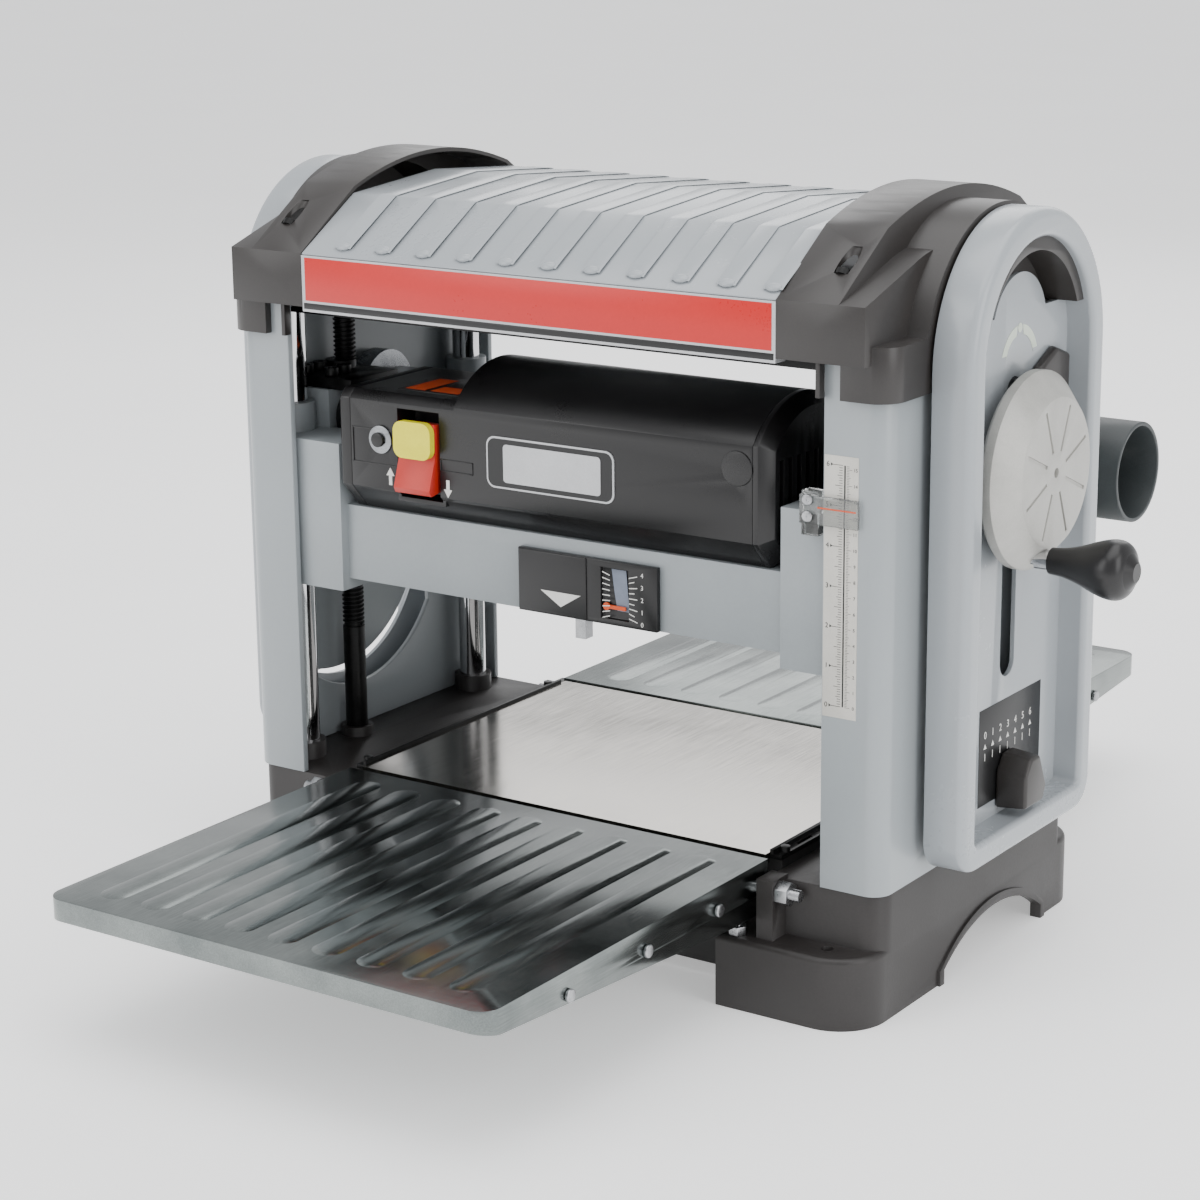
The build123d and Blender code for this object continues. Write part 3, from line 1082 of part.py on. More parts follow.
def depth_stop_knob():
    """Wedge knob that slides along its slot and sets how low the carriage can go."""
    wedge = [(-16, -17), (12, -17), (17, -6), (6, 19), (-8, 19), (-16, 8)]
    outline = polygon(*[(STOP_Y + y, STOP_Z + z) for y, z in wedge])
    knob = slab_x(outline, PANEL_FLOOR + GAP, PANEL_FLOOR + STOP_THICK)
    half = STOP_SLOT[1] / 2 - 0.5
    return knob + box((FRAME_OUTER - 8, PANEL_FLOOR + 2), (STOP_Y - 5, STOP_Y + 5),
                      (STOP_Z - half, STOP_Z + half))


# ---------------------------------------------------------------- gauge and pointer
def gauge_box():
    """Housing of the removal gauge, with the shaft of the foot and the pointer's window."""
    side = GAUGE_LEDGE + 0.3
    body = box(GAUGE_X, (-GAUGE_FRONT_Y, -BEAM_FRONT_Y), GAUGE_Z)
    body += box((GAUGE_X[0] + side, GAUGE_X[1] - side), (-BEAM_FRONT_Y, -BEAM_FRONT_Y + 7.5),
                (GAUGE_Z[0], GAUGE_Z[1] - side))
    body -= box((FOOT_X - FOOT_HALF - GAP, FOOT_X + FOOT_HALF + GAP), (-GAUGE_FRONT_Y + 2, -BEAM_FRONT_Y + 9),
                (GAUGE_Z[0] - 1, GAUGE_Z[1] - 12))
    return body - box((POINTER_X - 10, POINTER_X + 12), (-GAUGE_FRONT_Y - 1, -GAUGE_FRONT_Y + 3.2),
                      (GAUGE_Z[0] + 4, GAUGE_Z[1] - 5))


def gauge_foot():
    """Sprung foot under the gauge that touches the board before the cutter does."""
    low = TABLE_TOP + CUT_HEIGHT - FOOT_TRAVEL
    return box((FOOT_X - FOOT_HALF, FOOT_X + FOOT_HALF), (-GAUGE_FRONT_Y + 2.4, -BEAM_FRONT_Y + 7),
               (low, GAUGE_Z[0] + 22))


def gauge_pointer():
    y, z = -GAUGE_FRONT_Y, POINTER_Z
    body = box((POINTER_X - 7, POINTER_X + 9), (y + 0.6, y + 1.8), (z - 1.2, z + 1.2))
    body += rod("y", (POINTER_X - 6, y + 0.6, z), 2.6, 1.2)
    return body + rod("y", (POINTER_X - 6, y + 1.8, z), 1.2, 1.2)


def scale_pointer():
    """Clear pointer arm that reaches from the carriage over the depth scale on the column."""
    y = -FRAME_FRONT_Y - 1.2
    low, high = SCALE_ARM
    arm = box((low, high), (y - 2.6, y), (SCALE_ARM_Z, SCALE_ARM_Z + 18))
    return arm + box((low, low + 12), (y, -BOX_FRONT_Y), (SCALE_ARM_Z - 8, SCALE_ARM_Z + 20))


# ---------------------------------------------------------------- dust
def chip_hood():
    """Hood over the deck's slot that turns the chips sideways into the port's elbow."""
    (y0, y1), top = HOOD_Y, HOOD_TOP
    z0 = BEAM_TOP + DECK_THICK
    skin = 3.0
    side = polygon((y0, z0), (y0, z0 + 18), (y0 + 24, top), (y1 - 16, top), (y1, top - 20), (y1, z0),
                   (BEAM_FRONT_Y, z0))
    inner = polygon((y0 + 4, z0 - 1), (y0 + 4, z0 + 16), (y0 + 26, top - skin), (y1 - 17, top - skin),
                    (y1 - skin, top - 21), (y1 - skin, z0 + skin), (BEAM_FRONT_Y - 8, z0 + skin),
                    (BEAM_FRONT_Y - 8, z0 - 1))
    x0, y_start = DUCT_START
    run = Vector(DUCT_X - x0, DUCT_Y - y_start, 0)
    path = Plane(origin=(x0, y_start, DUCT_Z), z_dir=run)
    elbow = Pos(DUCT_X, DUCT_Y, DUCT_Z) * Sphere(ELBOW_R)
    body = slab_x(side, -HOOD_HALF, HOOD_HALF) + extrude(path * Circle(DUCT_R), run.length) + elbow
    bore = PORT_R - PORT_WALL
    passage = extrude(path * Circle(bore - 1), run.length)
    passage += Pos(DUCT_X, DUCT_Y, DUCT_Z) * Sphere(bore + 1)
    passage += rod("x", (DUCT_X, DUCT_Y, DUCT_Z), bore, 80)
    body -= slab_x(inner, -HOOD_HALF + skin, HOOD_HALF - skin)
    body -= passage
    body -= rod("x", (PORT_START, DUCT_Y, DUCT_Z), PORT_R, 60)
    above = box((-PANEL_OUTER, PANEL_OUTER), (-COVER_FRONT_Y, DUCT_Y + ELBOW_R), (z0, COVER_TOP))
    return body & above - box((END_WALL_IN - 12, PANEL_OUTER), (0, BOX_FRONT_Y + 3), (0, COVER_TOP))


def dust_port():
    tube = rod("x", (PORT_START, DUCT_Y, DUCT_Z), PORT_R, PORT_MOUTH - PORT_START)
    return tube - rod("x", (DUCT_X, DUCT_Y, DUCT_Z), PORT_R - PORT_WALL, 100)


# ---------------------------------------------------------------- assembly
def build():
    right_base = base_right()
    keep("base_right", right_base)
    keep("base_left", left_of(right_base))
    keep("bed_casting", bed_casting())
    plate = box((-BED_HALF_X, BED_HALF_X), (-BED_HALF_Y, BED_HALF_Y), (TABLE_TOP - BED_PLATE, TABLE_TOP))
    bar = box((-BED_HALF_X, BED_HALF_X), (-BED_HALF_Y - BED_BAR, -BED_HALF_Y),
              (TABLE_TOP - BED_PLATE - 3, TABLE_TOP))
    keep("bed_plate", plate, bar, rear_of(bar))
    keep("bed_side_rails", both_sides(bed_side_rail()))
    keep("guide_columns", four_corners(rod("z", (COLUMN_X, COLUMN_Y, COLUMN_FOOT), COLUMN_R,
                                           TIE_BOTTOM + HEAD_SOCKET - COLUMN_FOOT)))
    keep("lead_screws", both_sides(rod("z", (SCREW_X, SCREW_Y, COLUMN_FOOT), SCREW_R,
                                       TIE_BOTTOM + HEAD_SOCKET - COLUMN_FOOT)))
    keep("side_frame_right", side_frame_right())
    keep("side_frame_left", side_frame_left())
    keep("outer_panel_right", outer_panel_right())
    keep("outer_panel_left", outer_panel_left())
    cover = corner_cover()
    keep("corner_cover_right", cover)
    keep("corner_cover_left", left_of(cover))
    keep("cover_screws", cover_screws())
    keep("top_tie", top_tie())
    keep("top_cover", top_cover())
    keep("banner_plates", banner_plate(), rear_of(banner_plate()))
    keep("wing_bolts", wing_bolts())
    keep("infeed_wing", wing())
    keep("outfeed_wing", rear_of(wing()))
    keep("carriage_casting", carriage_casting())
    keep("nut_flanges", both_sides(nut_flange()))
    keep("carriage_screws", carriage_screws())
    keep("motor_housing", motor_housing())
    keep("motor_end_cap", motor_end_cap())
    keep("motor_grille", motor_grille())
    keep("motor_stator", stator())
    keep("brush_caps", brush_caps())
    keep("cord_gland", cord_gland())
    keep("gauge_box", gauge_box())
    keep("gauge_foot", gauge_foot())
    keep("gauge_pointer", gauge_pointer())
    keep("scale_pointer", scale_pointer())
    keep("chip_hood", chip_hood())
    keep("dust_port", dust_port())
    keep("drive_cover", drive_cover())
    keep("drive_belt", drive_belt())
    keep("feed_gearbox", feed_gearbox())
    keep("feed_chain", feed_chain())
    keep("cutterhead", cutterhead())
    keep("cutter_inserts", cutter_inserts())
    keep("cutterhead_bearings", head_bearings())
    keep("infeed_roller", roller(-1))
    keep("outfeed_roller", roller(1))
    keep("infeed_blocks", roller_blocks(-1))
    keep("outfeed_blocks", roller_blocks(1))
    keep("roller_springs", roller_springs())
    keep("armature", armature())
    keep("motor_fan", motor_fan())
    keep("switch_paddle", switch_paddle())
    keep("safety_key", safety_key())
    keep("reset_button", reset_button())
    keep("lift_shaft", lift_shaft())
    keep("lead_nut_right", lead_nut())
    keep("lead_nut_left", left_of(lead_nut()))
    keep("handwheel", handwheel())
    keep("handwheel_stud", handwheel_stud())
    keep("handwheel_knob", handwheel_knob())
    keep("lock_lever", lock_lever())
    keep("depth_stop_knob", depth_stop_knob())


build()
os.makedirs("parts", exist_ok=True)
for name, shape in NODES.items():
    export_step(shape, f"parts/{name}.step")
print(len(NODES), "nodes")
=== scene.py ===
import bpy, bmesh, json, math
from mathutils import Matrix, Vector


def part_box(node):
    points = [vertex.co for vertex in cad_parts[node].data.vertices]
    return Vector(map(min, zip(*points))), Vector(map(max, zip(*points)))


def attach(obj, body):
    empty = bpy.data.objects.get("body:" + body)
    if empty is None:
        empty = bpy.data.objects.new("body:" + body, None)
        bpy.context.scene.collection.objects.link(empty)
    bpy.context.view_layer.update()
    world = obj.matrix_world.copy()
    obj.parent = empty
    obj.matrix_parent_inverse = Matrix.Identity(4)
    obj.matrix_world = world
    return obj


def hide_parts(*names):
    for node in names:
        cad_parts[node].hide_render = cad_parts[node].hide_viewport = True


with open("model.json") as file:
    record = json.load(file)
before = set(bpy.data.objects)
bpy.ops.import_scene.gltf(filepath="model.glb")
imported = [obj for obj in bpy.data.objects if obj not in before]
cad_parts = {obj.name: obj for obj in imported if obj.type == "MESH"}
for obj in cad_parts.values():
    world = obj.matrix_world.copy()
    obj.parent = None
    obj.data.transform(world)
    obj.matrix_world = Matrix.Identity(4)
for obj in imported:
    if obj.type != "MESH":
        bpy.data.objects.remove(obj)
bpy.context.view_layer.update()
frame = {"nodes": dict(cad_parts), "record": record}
nodes = frame["nodes"]
scene = bpy.context.scene
print("frame loaded:", len(nodes), "nodes")

camera = {
    "place": (1.08905, -1.64574, 0.74429),  # metres
    "turn": 34.61,  # degrees round the machine, from straight in front
    "tilt": 15.1,  # degrees down
    "roll": -0.61,
    "lens": 88.33,
    "clipEnd": 200,
}


def makeCamera(c):
    data = bpy.data.cameras.new("camera")
    data.lens = c["lens"]
    data.clip_end = c["clipEnd"]
    made = bpy.data.objects.new("camera", data)
    scene.collection.objects.link(made)
    turn = Matrix.Rotation(math.radians(c["turn"]), 4, "Z")
    tilt = Matrix.Rotation(math.radians(90 - c["tilt"]), 4, "X")
    roll = Matrix.Rotation(math.radians(c["roll"]), 4, "Z")
    made.matrix_world = Matrix.Translation(c["place"]) @ turn @ tilt @ roll
    scene.camera = made


makeCamera(camera)
print("camera placed")


def hexColour(text):  # sRGB hex to the linear values that shaders use
    parts = [int(text[i:i + 2], 16) / 255 for i in (1, 3, 5)]
    return [p / 12.92 if p <= 0.04045 else ((p + 0.055) / 1.055) ** 2.4 for p in parts] + [1.0]


def addNode(tree, kind, settings=None, links=None):
    node = tree.nodes.new(kind)
    for key, value in (settings or {}).items():
        if isinstance(key, int) or key in node.inputs:
            node.inputs[key].default_value = value
        else:
            setattr(node, key, value)
    for key, source in (links or {}).items():
        tree.links.new(source, node.inputs[key])
    return node


def makeFinish(name, f):
    # dark and light are the ends of the colour; patch, grain and height are in mm; rough is low, high
    # mix is how much of the colour follows the grain; stretch draws the grain out along an axis
    mat = bpy.data.materials.new(name)
    mat.use_nodes = True
    tree = mat.node_tree
    tree.nodes.clear()
    mix = f.get("mix", 0.35)
    where = addNode(tree, "ShaderNodeTexCoord").outputs["Object"]
    stretch = addNode(tree, "ShaderNodeMapping", {"Scale": f.get("stretch", (1, 1, 1))},
                      {"Vector": where})
    patch = addNode(tree, "ShaderNodeTexNoise",
                    {"Scale": 1000 / f["patch"], "Detail": 5.0, "Roughness": 0.6}, {"Vector": where})
    grain = addNode(tree, "ShaderNodeTexNoise", {"Scale": 1000 / f["grain"], "Detail": 2.0},
                    {"Vector": stretch.outputs["Vector"]})
    blend = addNode(tree, "ShaderNodeMath", {"operation": "MULTIPLY_ADD", 1: mix, 2: 0.0},
                    {0: grain.outputs[0]})
    both = addNode(tree, "ShaderNodeMath", {"operation": "MULTIPLY_ADD", 1: 1 - mix},
                   {0: patch.outputs[0], 2: blend.outputs[0]})
    spread = addNode(tree, "ShaderNodeMapRange", {"From Min": 0.35, "From Max": 0.65},
                     {"Value": both.outputs[0]})
    colour = addNode(tree, "ShaderNodeMix",
                     {"data_type": "RGBA", 6: hexColour(f["dark"]), 7: hexColour(f["light"])},
                     {0: spread.outputs[0]})
    rough = addNode(tree, "ShaderNodeMapRange", {"To Min": f["rough"][0], "To Max": f["rough"][1]},
                    {"Value": spread.outputs[0]})
    bump = addNode(tree, "ShaderNodeBump",
                   {"Strength": f.get("bump", 0.5), "Distance": f["height"] / 1000},
                   {"Height": grain.outputs[0]})
    shader = addNode(tree, "ShaderNodeBsdfPrincipled",
                     {"Metallic": f.get("metallic", 0.0), "Coat Weight": f.get("coat", 0.0),
                      "Coat Roughness": 0.2},
                     {"Base Color": colour.outputs[2], "Roughness": rough.outputs[0],
                      "Normal": bump.outputs[0]})
    if "ior" in f:
        shader.inputs["IOR"].default_value = f["ior"]
    if "glow" in f:
        shader.inputs["Emission Color"].default_value = (1, 1, 1, 1)
        shader.inputs["Emission Strength"].default_value = f["glow"]
    if "through" in f:
        shader.inputs["Transmission Weight"].default_value = f["through"]
    addNode(tree, "ShaderNodeOutputMaterial", {}, {"Surface": shader.outputs[0]})
    return mat


finishes = {
    # charcoal textured paint on castings: fine pebbled grain, dull with a soft sheen
    "charcoalPaintedCasting": dict(
        dark="#262322", light="#2F2C2B", patch=60, grain=1.6, height=0.08, rough=(0.40, 0.52)),
    # charcoal moulded covers: spark-eroded grain, satin
    "charcoalMouldedAbs": dict(
        dark="#282524", light="#312E2C", patch=90, grain=0.9, height=0.04, rough=(0.30, 0.40),
        ior=1.5),
    # blue-grey gloss paint on sheet steel: faint orange peel, clean highlights
    "greyPaintedSteel": dict(
        dark="#969C9F", light="#9CA2A5", patch=220, grain=3.5, height=0.02, rough=(0.30, 0.38),
        bump=0.25, coat=0.25, mix=0.15),
    # the same paint on die-cast alloy: the skin below it shows as a slight unevenness
    "greyPaintedAluminium": dict(
        dark="#92989B", light="#9BA1A4", patch=110, grain=2.2, height=0.04, rough=(0.33, 0.43),
        bump=0.35, coat=0.2, mix=0.2),
    # grey moulding of the outer panels and top: smoother and glossier than the paint
    "greyMouldedAbs": dict(
        dark="#9A9FA3", light="#A0A5A9", patch=240, grain=4.0, height=0.015, rough=(0.22, 0.30),
        bump=0.2, coat=0.35, mix=0.15),
    # black glass-filled nylon of the motor shell: fine leather grain, low sheen
    "blackFilledNylon": dict(
        dark="#0D0C0D", light="#141314", patch=60, grain=0.7, height=0.04, rough=(0.26, 0.36),
        ior=1.5),
    # ground and polished stainless bed: long faint scratches along the feed
    "polishedStainless": dict(
        dark="#B4B0AA", light="#C4C0BA", patch=90, grain=1.2, height=0.008, rough=(0.10, 0.20),
        metallic=1.0, stretch=(1, 0.03, 1), bump=0.25, mix=0.5),
    # pressed and plated sheet of the wings: darker, with cloudy reflections
    "zincPlatedSheet": dict(
        dark="#6C7271", light="#8F9492", patch=70, grain=1.0, height=0.01, rough=(0.16, 0.25),
        metallic=1.0, stretch=(1, 0.04, 1), bump=0.25, mix=0.3),
    # dark sand-cast aluminium: coarse skin with no shine
    "roughCastAluminium": dict(
        dark="#1C1C1C", light="#2C2B2A", patch=30, grain=1.8, height=0.2, rough=(0.55, 0.75)),
    # black oxide on steel: almost black, waxy
    "blackOxideSteel": dict(
        dark="#131313", light="#262626", patch=14, grain=0.8, height=0.02, rough=(0.30, 0.48),
        metallic=0.7),
    # hard chrome on ground columns: near mirror with faint rings
    "hardChromedSteel": dict(
        dark="#C4C4C6", light="#DCDCDD", patch=70, grain=0.6, height=0.003, rough=(0.05, 0.10),
        metallic=1.0, stretch=(1, 1, 0.05), bump=0.2),
    # bright zinc plating on fasteners: pale and slightly cloudy
    "zincPlatedSteel": dict(
        dark="#8F9092", light="#BDBEC0", patch=9, grain=0.7, height=0.01, rough=(0.22, 0.38),
        metallic=1.0),
    # silver lacquer over an iron casting: soft, slightly mottled
    "silverLacqueredIron": dict(
        dark="#A9A8A3", light="#BAB9B4", patch=26, grain=0.9, height=0.02, rough=(0.36, 0.48),
        metallic=0.35),
    # milled aluminium: pale metal with fine tool marks across it
    "machinedAluminium": dict(
        dark="#A4A6A8", light="#C0C2C3", patch=20, grain=0.6, height=0.01, rough=(0.26, 0.4),
        metallic=1.0, stretch=(1, 0.2, 1)),
    # ground tool steel: grey metal with fine lines
    "groundToolSteel": dict(
        dark="#7E8083", light="#A3A5A8", patch=16, grain=0.4, height=0.008, rough=(0.2, 0.34),
        metallic=1.0, stretch=(0.2, 1, 1)),
    # enamelled copper windings: brown, with the run of the wire
    "enamelledCopper": dict(
        dark="#6B3E22", light="#A86A3A", patch=10, grain=0.9, height=0.1, rough=(0.35, 0.55),
        metallic=0.8, stretch=(1, 0.2, 0.2)),
    # moulded black rubber: matt with a faint bloom
    "blackMouldedRubber": dict(
        dark="#151515", light="#202020", patch=18, grain=0.9, height=0.05, rough=(0.6, 0.8)),
    # ground rubber of the feed rollers: matt with a fine nap
    "groundRubber": dict(
        dark="#1D1E20", light="#2A2B2D", patch=30, grain=0.8, height=0.04, rough=(0.55, 0.7)),
    # turned bronze of the lead nuts: warm metal with soft highlights
    "turnedBronze": dict(
        dark="#8A6A2E", light="#B08A45", patch=12, grain=0.6, height=0.01, rough=(0.25, 0.4),
        metallic=1.0),
    # red film of the sign plate: flat strong colour under a smooth face
    "redPrintedFilm": dict(
        dark="#C40F0C", light="#CC1512", patch=80, grain=2.0, height=0.004, rough=(0.26, 0.34),
        bump=0.2, ior=1.5),
    # satin silver film: the bright ground of sign and badge
    "satinSilverFilm": dict(
        dark="#B3B4B6", light="#C3C4C6", patch=40, grain=1.0, height=0.004, rough=(0.28, 0.4),
        metallic=0.4, bump=0.2),
    # black film and printing: even and nearly flat, satin
    "blackPrintedFilm": dict(
        dark="#0B0B0C", light="#141415", patch=40, grain=1.0, height=0.004, rough=(0.3, 0.4)),
    # white screen-printed ink: matt, slightly warm
    "whitePrintedInk": dict(
        dark="#D9D9D4", light="#EAE9E5", patch=12, grain=0.8, height=0.003, rough=(0.4, 0.5)),
    # cream label stock of the depth scale: warm pale ground, satin
    "creamLabelFilm": dict(
        dark="#C3C0B8", light="#D0CDC6", patch=30, grain=0.8, height=0.004, rough=(0.3, 0.42)),
    # pale green printed ink of the lock decal: soft and matt
    "greenPrintedInk": dict(
        dark="#C3CDBE", light="#CFD8C9", patch=12, grain=0.8, height=0.003, rough=(0.35, 0.45)),
    # red moulding of the switch paddle: strong colour, soft gloss
    "redMouldedAbs": dict(
        dark="#B8261B", light="#C53125", patch=15, grain=0.8, height=0.02, rough=(0.3, 0.42),
        ior=1.5),
    # yellow moulding of the safety key: bright colour, soft gloss
    "yellowMouldedAbs": dict(
        dark="#E6DC12", light="#F2E92A", patch=12, grain=0.8, height=0.02, rough=(0.28, 0.4),
        ior=1.5),
    # clear acrylic: seen through, with sharp highlights
    "clearAcrylic": dict(
        dark="#E6E8E6", light="#F4F5F4", patch=12, grain=2.0, height=0.01, rough=(0.04, 0.1),
        ior=1.49, through=0.92),
    # dark grey moulding of the dust port: satin, grained
    "darkGreyMouldedAbs": dict(
        dark="#2F3435", light="#3B4041", patch=50, grain=0.9, height=0.05, rough=(0.4, 0.55)),
    # orange moulding and printing: small bright accents
    "orangeMouldedAbs": dict(
        dark="#C8430F", light="#DC5419", patch=5, grain=0.6, height=0.01, rough=(0.4, 0.5)),
    # slate blue film behind the gauge window: cool and flat
    "slatePrintedFilm": dict(
        dark="#6F7787", light="#7E8696", patch=8, grain=0.8, height=0.005, rough=(0.35, 0.5)),
    # painted studio floor: matt, with a slight glow that keeps it pale
    "paintedFloor": dict(
        dark="#F6F6F6", light="#FAFAFA", patch=400, grain=6, height=0.01, rough=(0.75, 0.9),
        bump=0.1, glow=0.45),
}
mats = {name: makeFinish(name, f) for name, f in finishes.items()}
slotFinish = {
    "cast_charcoal": "charcoalPaintedCasting", "plastic_charcoal": "charcoalMouldedAbs",
    "paint_grey": "greyPaintedSteel", "alloy_grey": "greyPaintedAluminium",
    "plastic_grey": "greyMouldedAbs", "plastic_black": "blackFilledNylon",
    "stainless": "polishedStainless", "zinc_sheet": "zincPlatedSheet",
    "cast_table": "roughCastAluminium", "black_steel": "blackOxideSteel",
    "hard_chrome": "hardChromedSteel", "zinc_hardware": "zincPlatedSteel",
    "silver_cast": "silverLacqueredIron", "bare_alloy": "machinedAluminium",
    "tool_steel": "groundToolSteel", "copper_core": "enamelledCopper",
    "rubber_black": "blackMouldedRubber", "roller_rubber": "groundRubber",
    "brass_nut": "turnedBronze", "banner_red": "satinSilverFilm",
    "paddle_red": "redMouldedAbs", "key_yellow": "yellowMouldedAbs",
    "clear_arm": "clearAcrylic", "port_grey": "darkGreyMouldedAbs",
    "pointer_orange": "orangeMouldedAbs",
}
nodeSlot = {part["node"]: part["material_slot"] for part in frame["record"]["subparts"]}
bodies = frame["record"]["behaviour"]["bodies"]
nodeBody = {n: body for body, members in bodies.items() for n in members}
for name, cadNode in nodes.items():
    cadNode.data.materials.clear()
    cadNode.data.materials.append(mats[slotFinish[nodeSlot[name]]])
print("materials made:", len(mats))


def placeMesh(bm, name, body, finish, sharp):
    mesh = bpy.data.meshes.new(name)
    bm.to_mesh(mesh)
    bm.free()
    mesh.materials.clear()
    mesh.materials.append(mats[finish])
    mesh.shade_smooth()
    mesh.set_sharp_from_angle(angle=math.radians(sharp))
    made = bpy.data.objects.new(name, mesh)
    scene.collection.objects.link(made)
    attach(made, body)
    return made


def finishPiece(bm, name, body, finish, sharp=35):
    bmesh.ops.recalc_face_normals(bm, faces=bm.faces)
    return placeMesh(bm, name, body, finish, sharp)


def millimetres(*values):
    return Vector(values) / 1000


def edgesOf(verts):
    return {e for v in verts for e in v.link_edges}


def edgesAlong(verts, axis):  # the edges that run along one axis: 0, 1 or 2
    return [e for e in edgesOf(verts) if abs(e.verts[0].co[axis] - e.verts[1].co[axis]) > 1e-5]


def bevelEdges(bm, edges, width, segments=2, **more):
    bmesh.ops.bevel(bm, geom=list(edges), offset=width / 1000, segments=segments, profile=0.5,
                    affect="EDGES", material=-1, **more)


def addBlock(bm, low, high, round=0.0, segments=2):
    low, high = millimetres(*low), millimetres(*high)
    verts = bmesh.ops.create_cube(bm, size=1)["verts"]
    bmesh.ops.scale(bm, vec=high - low, verts=verts)
    bmesh.ops.translate(bm, vec=(high + low) / 2, verts=verts)
    if round:
        bevelEdges(bm, edgesOf(verts), round, segments, clamp_overlap=True)
    return verts


turns = {
    "x": Matrix.Rotation(math.pi / 2, 4, "Y"),
    "y": Matrix.Rotation(-math.pi / 2, 4, "X"),
    "z": Matrix.Identity(4),
}


def addDisc(bm, axis, start, radius, length, round=0.0, sides=48):
    lift = Matrix.Translation((0, 0, length / 2000))
    place = Matrix.Translation(millimetres(*start)) @ turns[axis] @ lift
    verts = bmesh.ops.create_cone(bm, cap_ends=True, segments=sides, radius1=radius / 1000,
                                  radius2=radius / 1000, depth=length / 1000, matrix=place)["verts"]
    if round:
        rims = [e for e in edgesOf(verts) if len(e.link_faces) == 2
                and any(len(face.verts) > 4 for face in e.link_faces)]
        bevelEdges(bm, rims, round, 3)


def addPlate(bm, outline, offset):
    verts = [bm.verts.new(millimetres(*p)) for p in outline]
    face = bmesh.ops.contextual_create(bm, geom=verts)["faces"][0]
    grown = bmesh.ops.extrude_face_region(bm, geom=[face])["geom"]
    lifted = [g for g in grown if isinstance(g, bmesh.types.BMVert)]
    bmesh.ops.translate(bm, vec=millimetres(*offset), verts=lifted)


def addNumber(bm, text, size, place, thick=0.1):
    curve = bpy.data.curves.new("number", "FONT")
    curve.body = text
    curve.size = size / 1000
    curve.extrude = thick / 2000
    curve.resolution_u = 3
    curve.align_x, curve.align_y = "CENTER", "CENTER"
    helper = bpy.data.objects.new("number", curve)
    mesh = bpy.data.meshes.new_from_object(helper)
    mesh.transform(place)
    bm.from_mesh(mesh)
    bpy.data.objects.remove(helper)
    bpy.data.curves.remove(curve)
    bpy.data.meshes.remove(mesh)


facingFront = Matrix.Rotation(math.pi / 2, 4, "X")  # text that reads from in front of the machine
facingRight = Matrix.Rotation(math.pi / 2, 4, "Z") @ facingFront  # and from the handwheel side

softEdges = {  # CAD nodes shown with their edges broken: width in mm
    "base_left": 1.2, "base_right": 1.2, "side_frame_left": 0.6, "side_frame_right": 0.6,
    "outer_panel_left": 0.5, "outer_panel_right": 0.5, "corner_cover_left": 0.8, "corner_cover_right": 0.8,
    "top_cover": 0.5, "bed_side_rails": 0.3, "carriage_casting": 0.9, "motor_housing": 0.7,
    "motor_end_cap": 0.6, "motor_grille": 0.5, "gauge_box": 0.5, "handwheel": 0.35,
    "infeed_wing": 0.4, "outfeed_wing": 0.4, "chip_hood": 0.8, "dust_port": 0.6, "top_tie": 0.5,
    "nut_flanges": 0.6, "switch_paddle": 0.6, "scale_pointer": 0.4, "drive_cover": 0.5, "wing_bolts": 0.3,
    "reset_button": 0.4, "carriage_screws": 0.3, "feed_gearbox": 0.6,
}
corner = 28  # degrees from which an edge counts as a corner


def softenNode(name, width):
    bm = bmesh.new()
    bm.from_mesh(nodes[name].data)
    bmesh.ops.remove_doubles(bm, verts=bm.verts, dist=2e-6)
    bmesh.ops.dissolve_limit(bm, angle_limit=math.radians(0.6), verts=bm.verts, edges=bm.edges)
    corners = [e for e in bm.edges
               if len(e.link_faces) == 2 and e.calc_face_angle(0) > math.radians(corner)]
    bevelEdges(bm, corners, width, clamp_overlap=True, loop_slide=True)
    slot = nodeSlot[name]
    made = placeMesh(bm, name + "-finished", nodeBody[name], slotFinish[slot], sharp=38)
    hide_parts(name)


for name, width in softEdges.items():
    softenNode(name, width)
print("edges broken on", len(softEdges), "nodes")

wing = {"top": 95.0, "ribs": 9, "pitch": 34.0, "ribWide": 21.0, "from": 146.0, "to": 412.0, "rise": 0.9,
        "rivets": (190.0, 270.0, 352.0), "rivetZ": 79.5, "side": 171.0,
        "rivetRadius": 4.2, "rivetHigh": 2.6, "flank": 4.0}


def makeWingDetail(w, side, body):
    bm = bmesh.new()
    half = w["ribWide"] / 2
    crest = w["top"] + w["rise"]
    for i in range(w["ribs"]):
        x = (i - (w["ribs"] - 1) / 2) * w["pitch"]
        verts = addBlock(bm, (x - half, side * w["from"], w["top"] - 0.5),
                         (x + half, side * w["to"], crest))
        bevelEdges(bm, edgesAlong(verts, 2), half - 0.4, 8)
    for face in [f for f in bm.faces if f.calc_center_median().z > crest / 1000 - 1e-5]:
        bmesh.ops.inset_region(bm, faces=[face], thickness=w["flank"] / 1000, depth=0.0)
    for v in bm.verts:  # the outer ring of each rib sinks to the sheet, so its flank slopes
        rim = [f for f in v.link_faces if abs(f.normal.z) < 0.3]
        if rim and v.co.z > w["top"] / 1000:
            v.co.z = (w["top"] + 0.02) / 1000
    finishPiece(bm, body + "-ribs", body, "zincPlatedSheet", sharp=60)
    bm = bmesh.new()
    for y in w["rivets"]:
        for start in (-w["side"] - w["rivetHigh"], w["side"]):
            addDisc(bm, "x", (start, side * y, w["rivetZ"]), w["rivetRadius"], w["rivetHigh"], 0.8, 24)
    finishPiece(bm, body + "-rivets", body, "zincPlatedSteel")


makeWingDetail(wing, -1, "infeed_wing")
makeWingDetail(wing, 1, "outfeed_wing")
print("wings pressed and riveted")

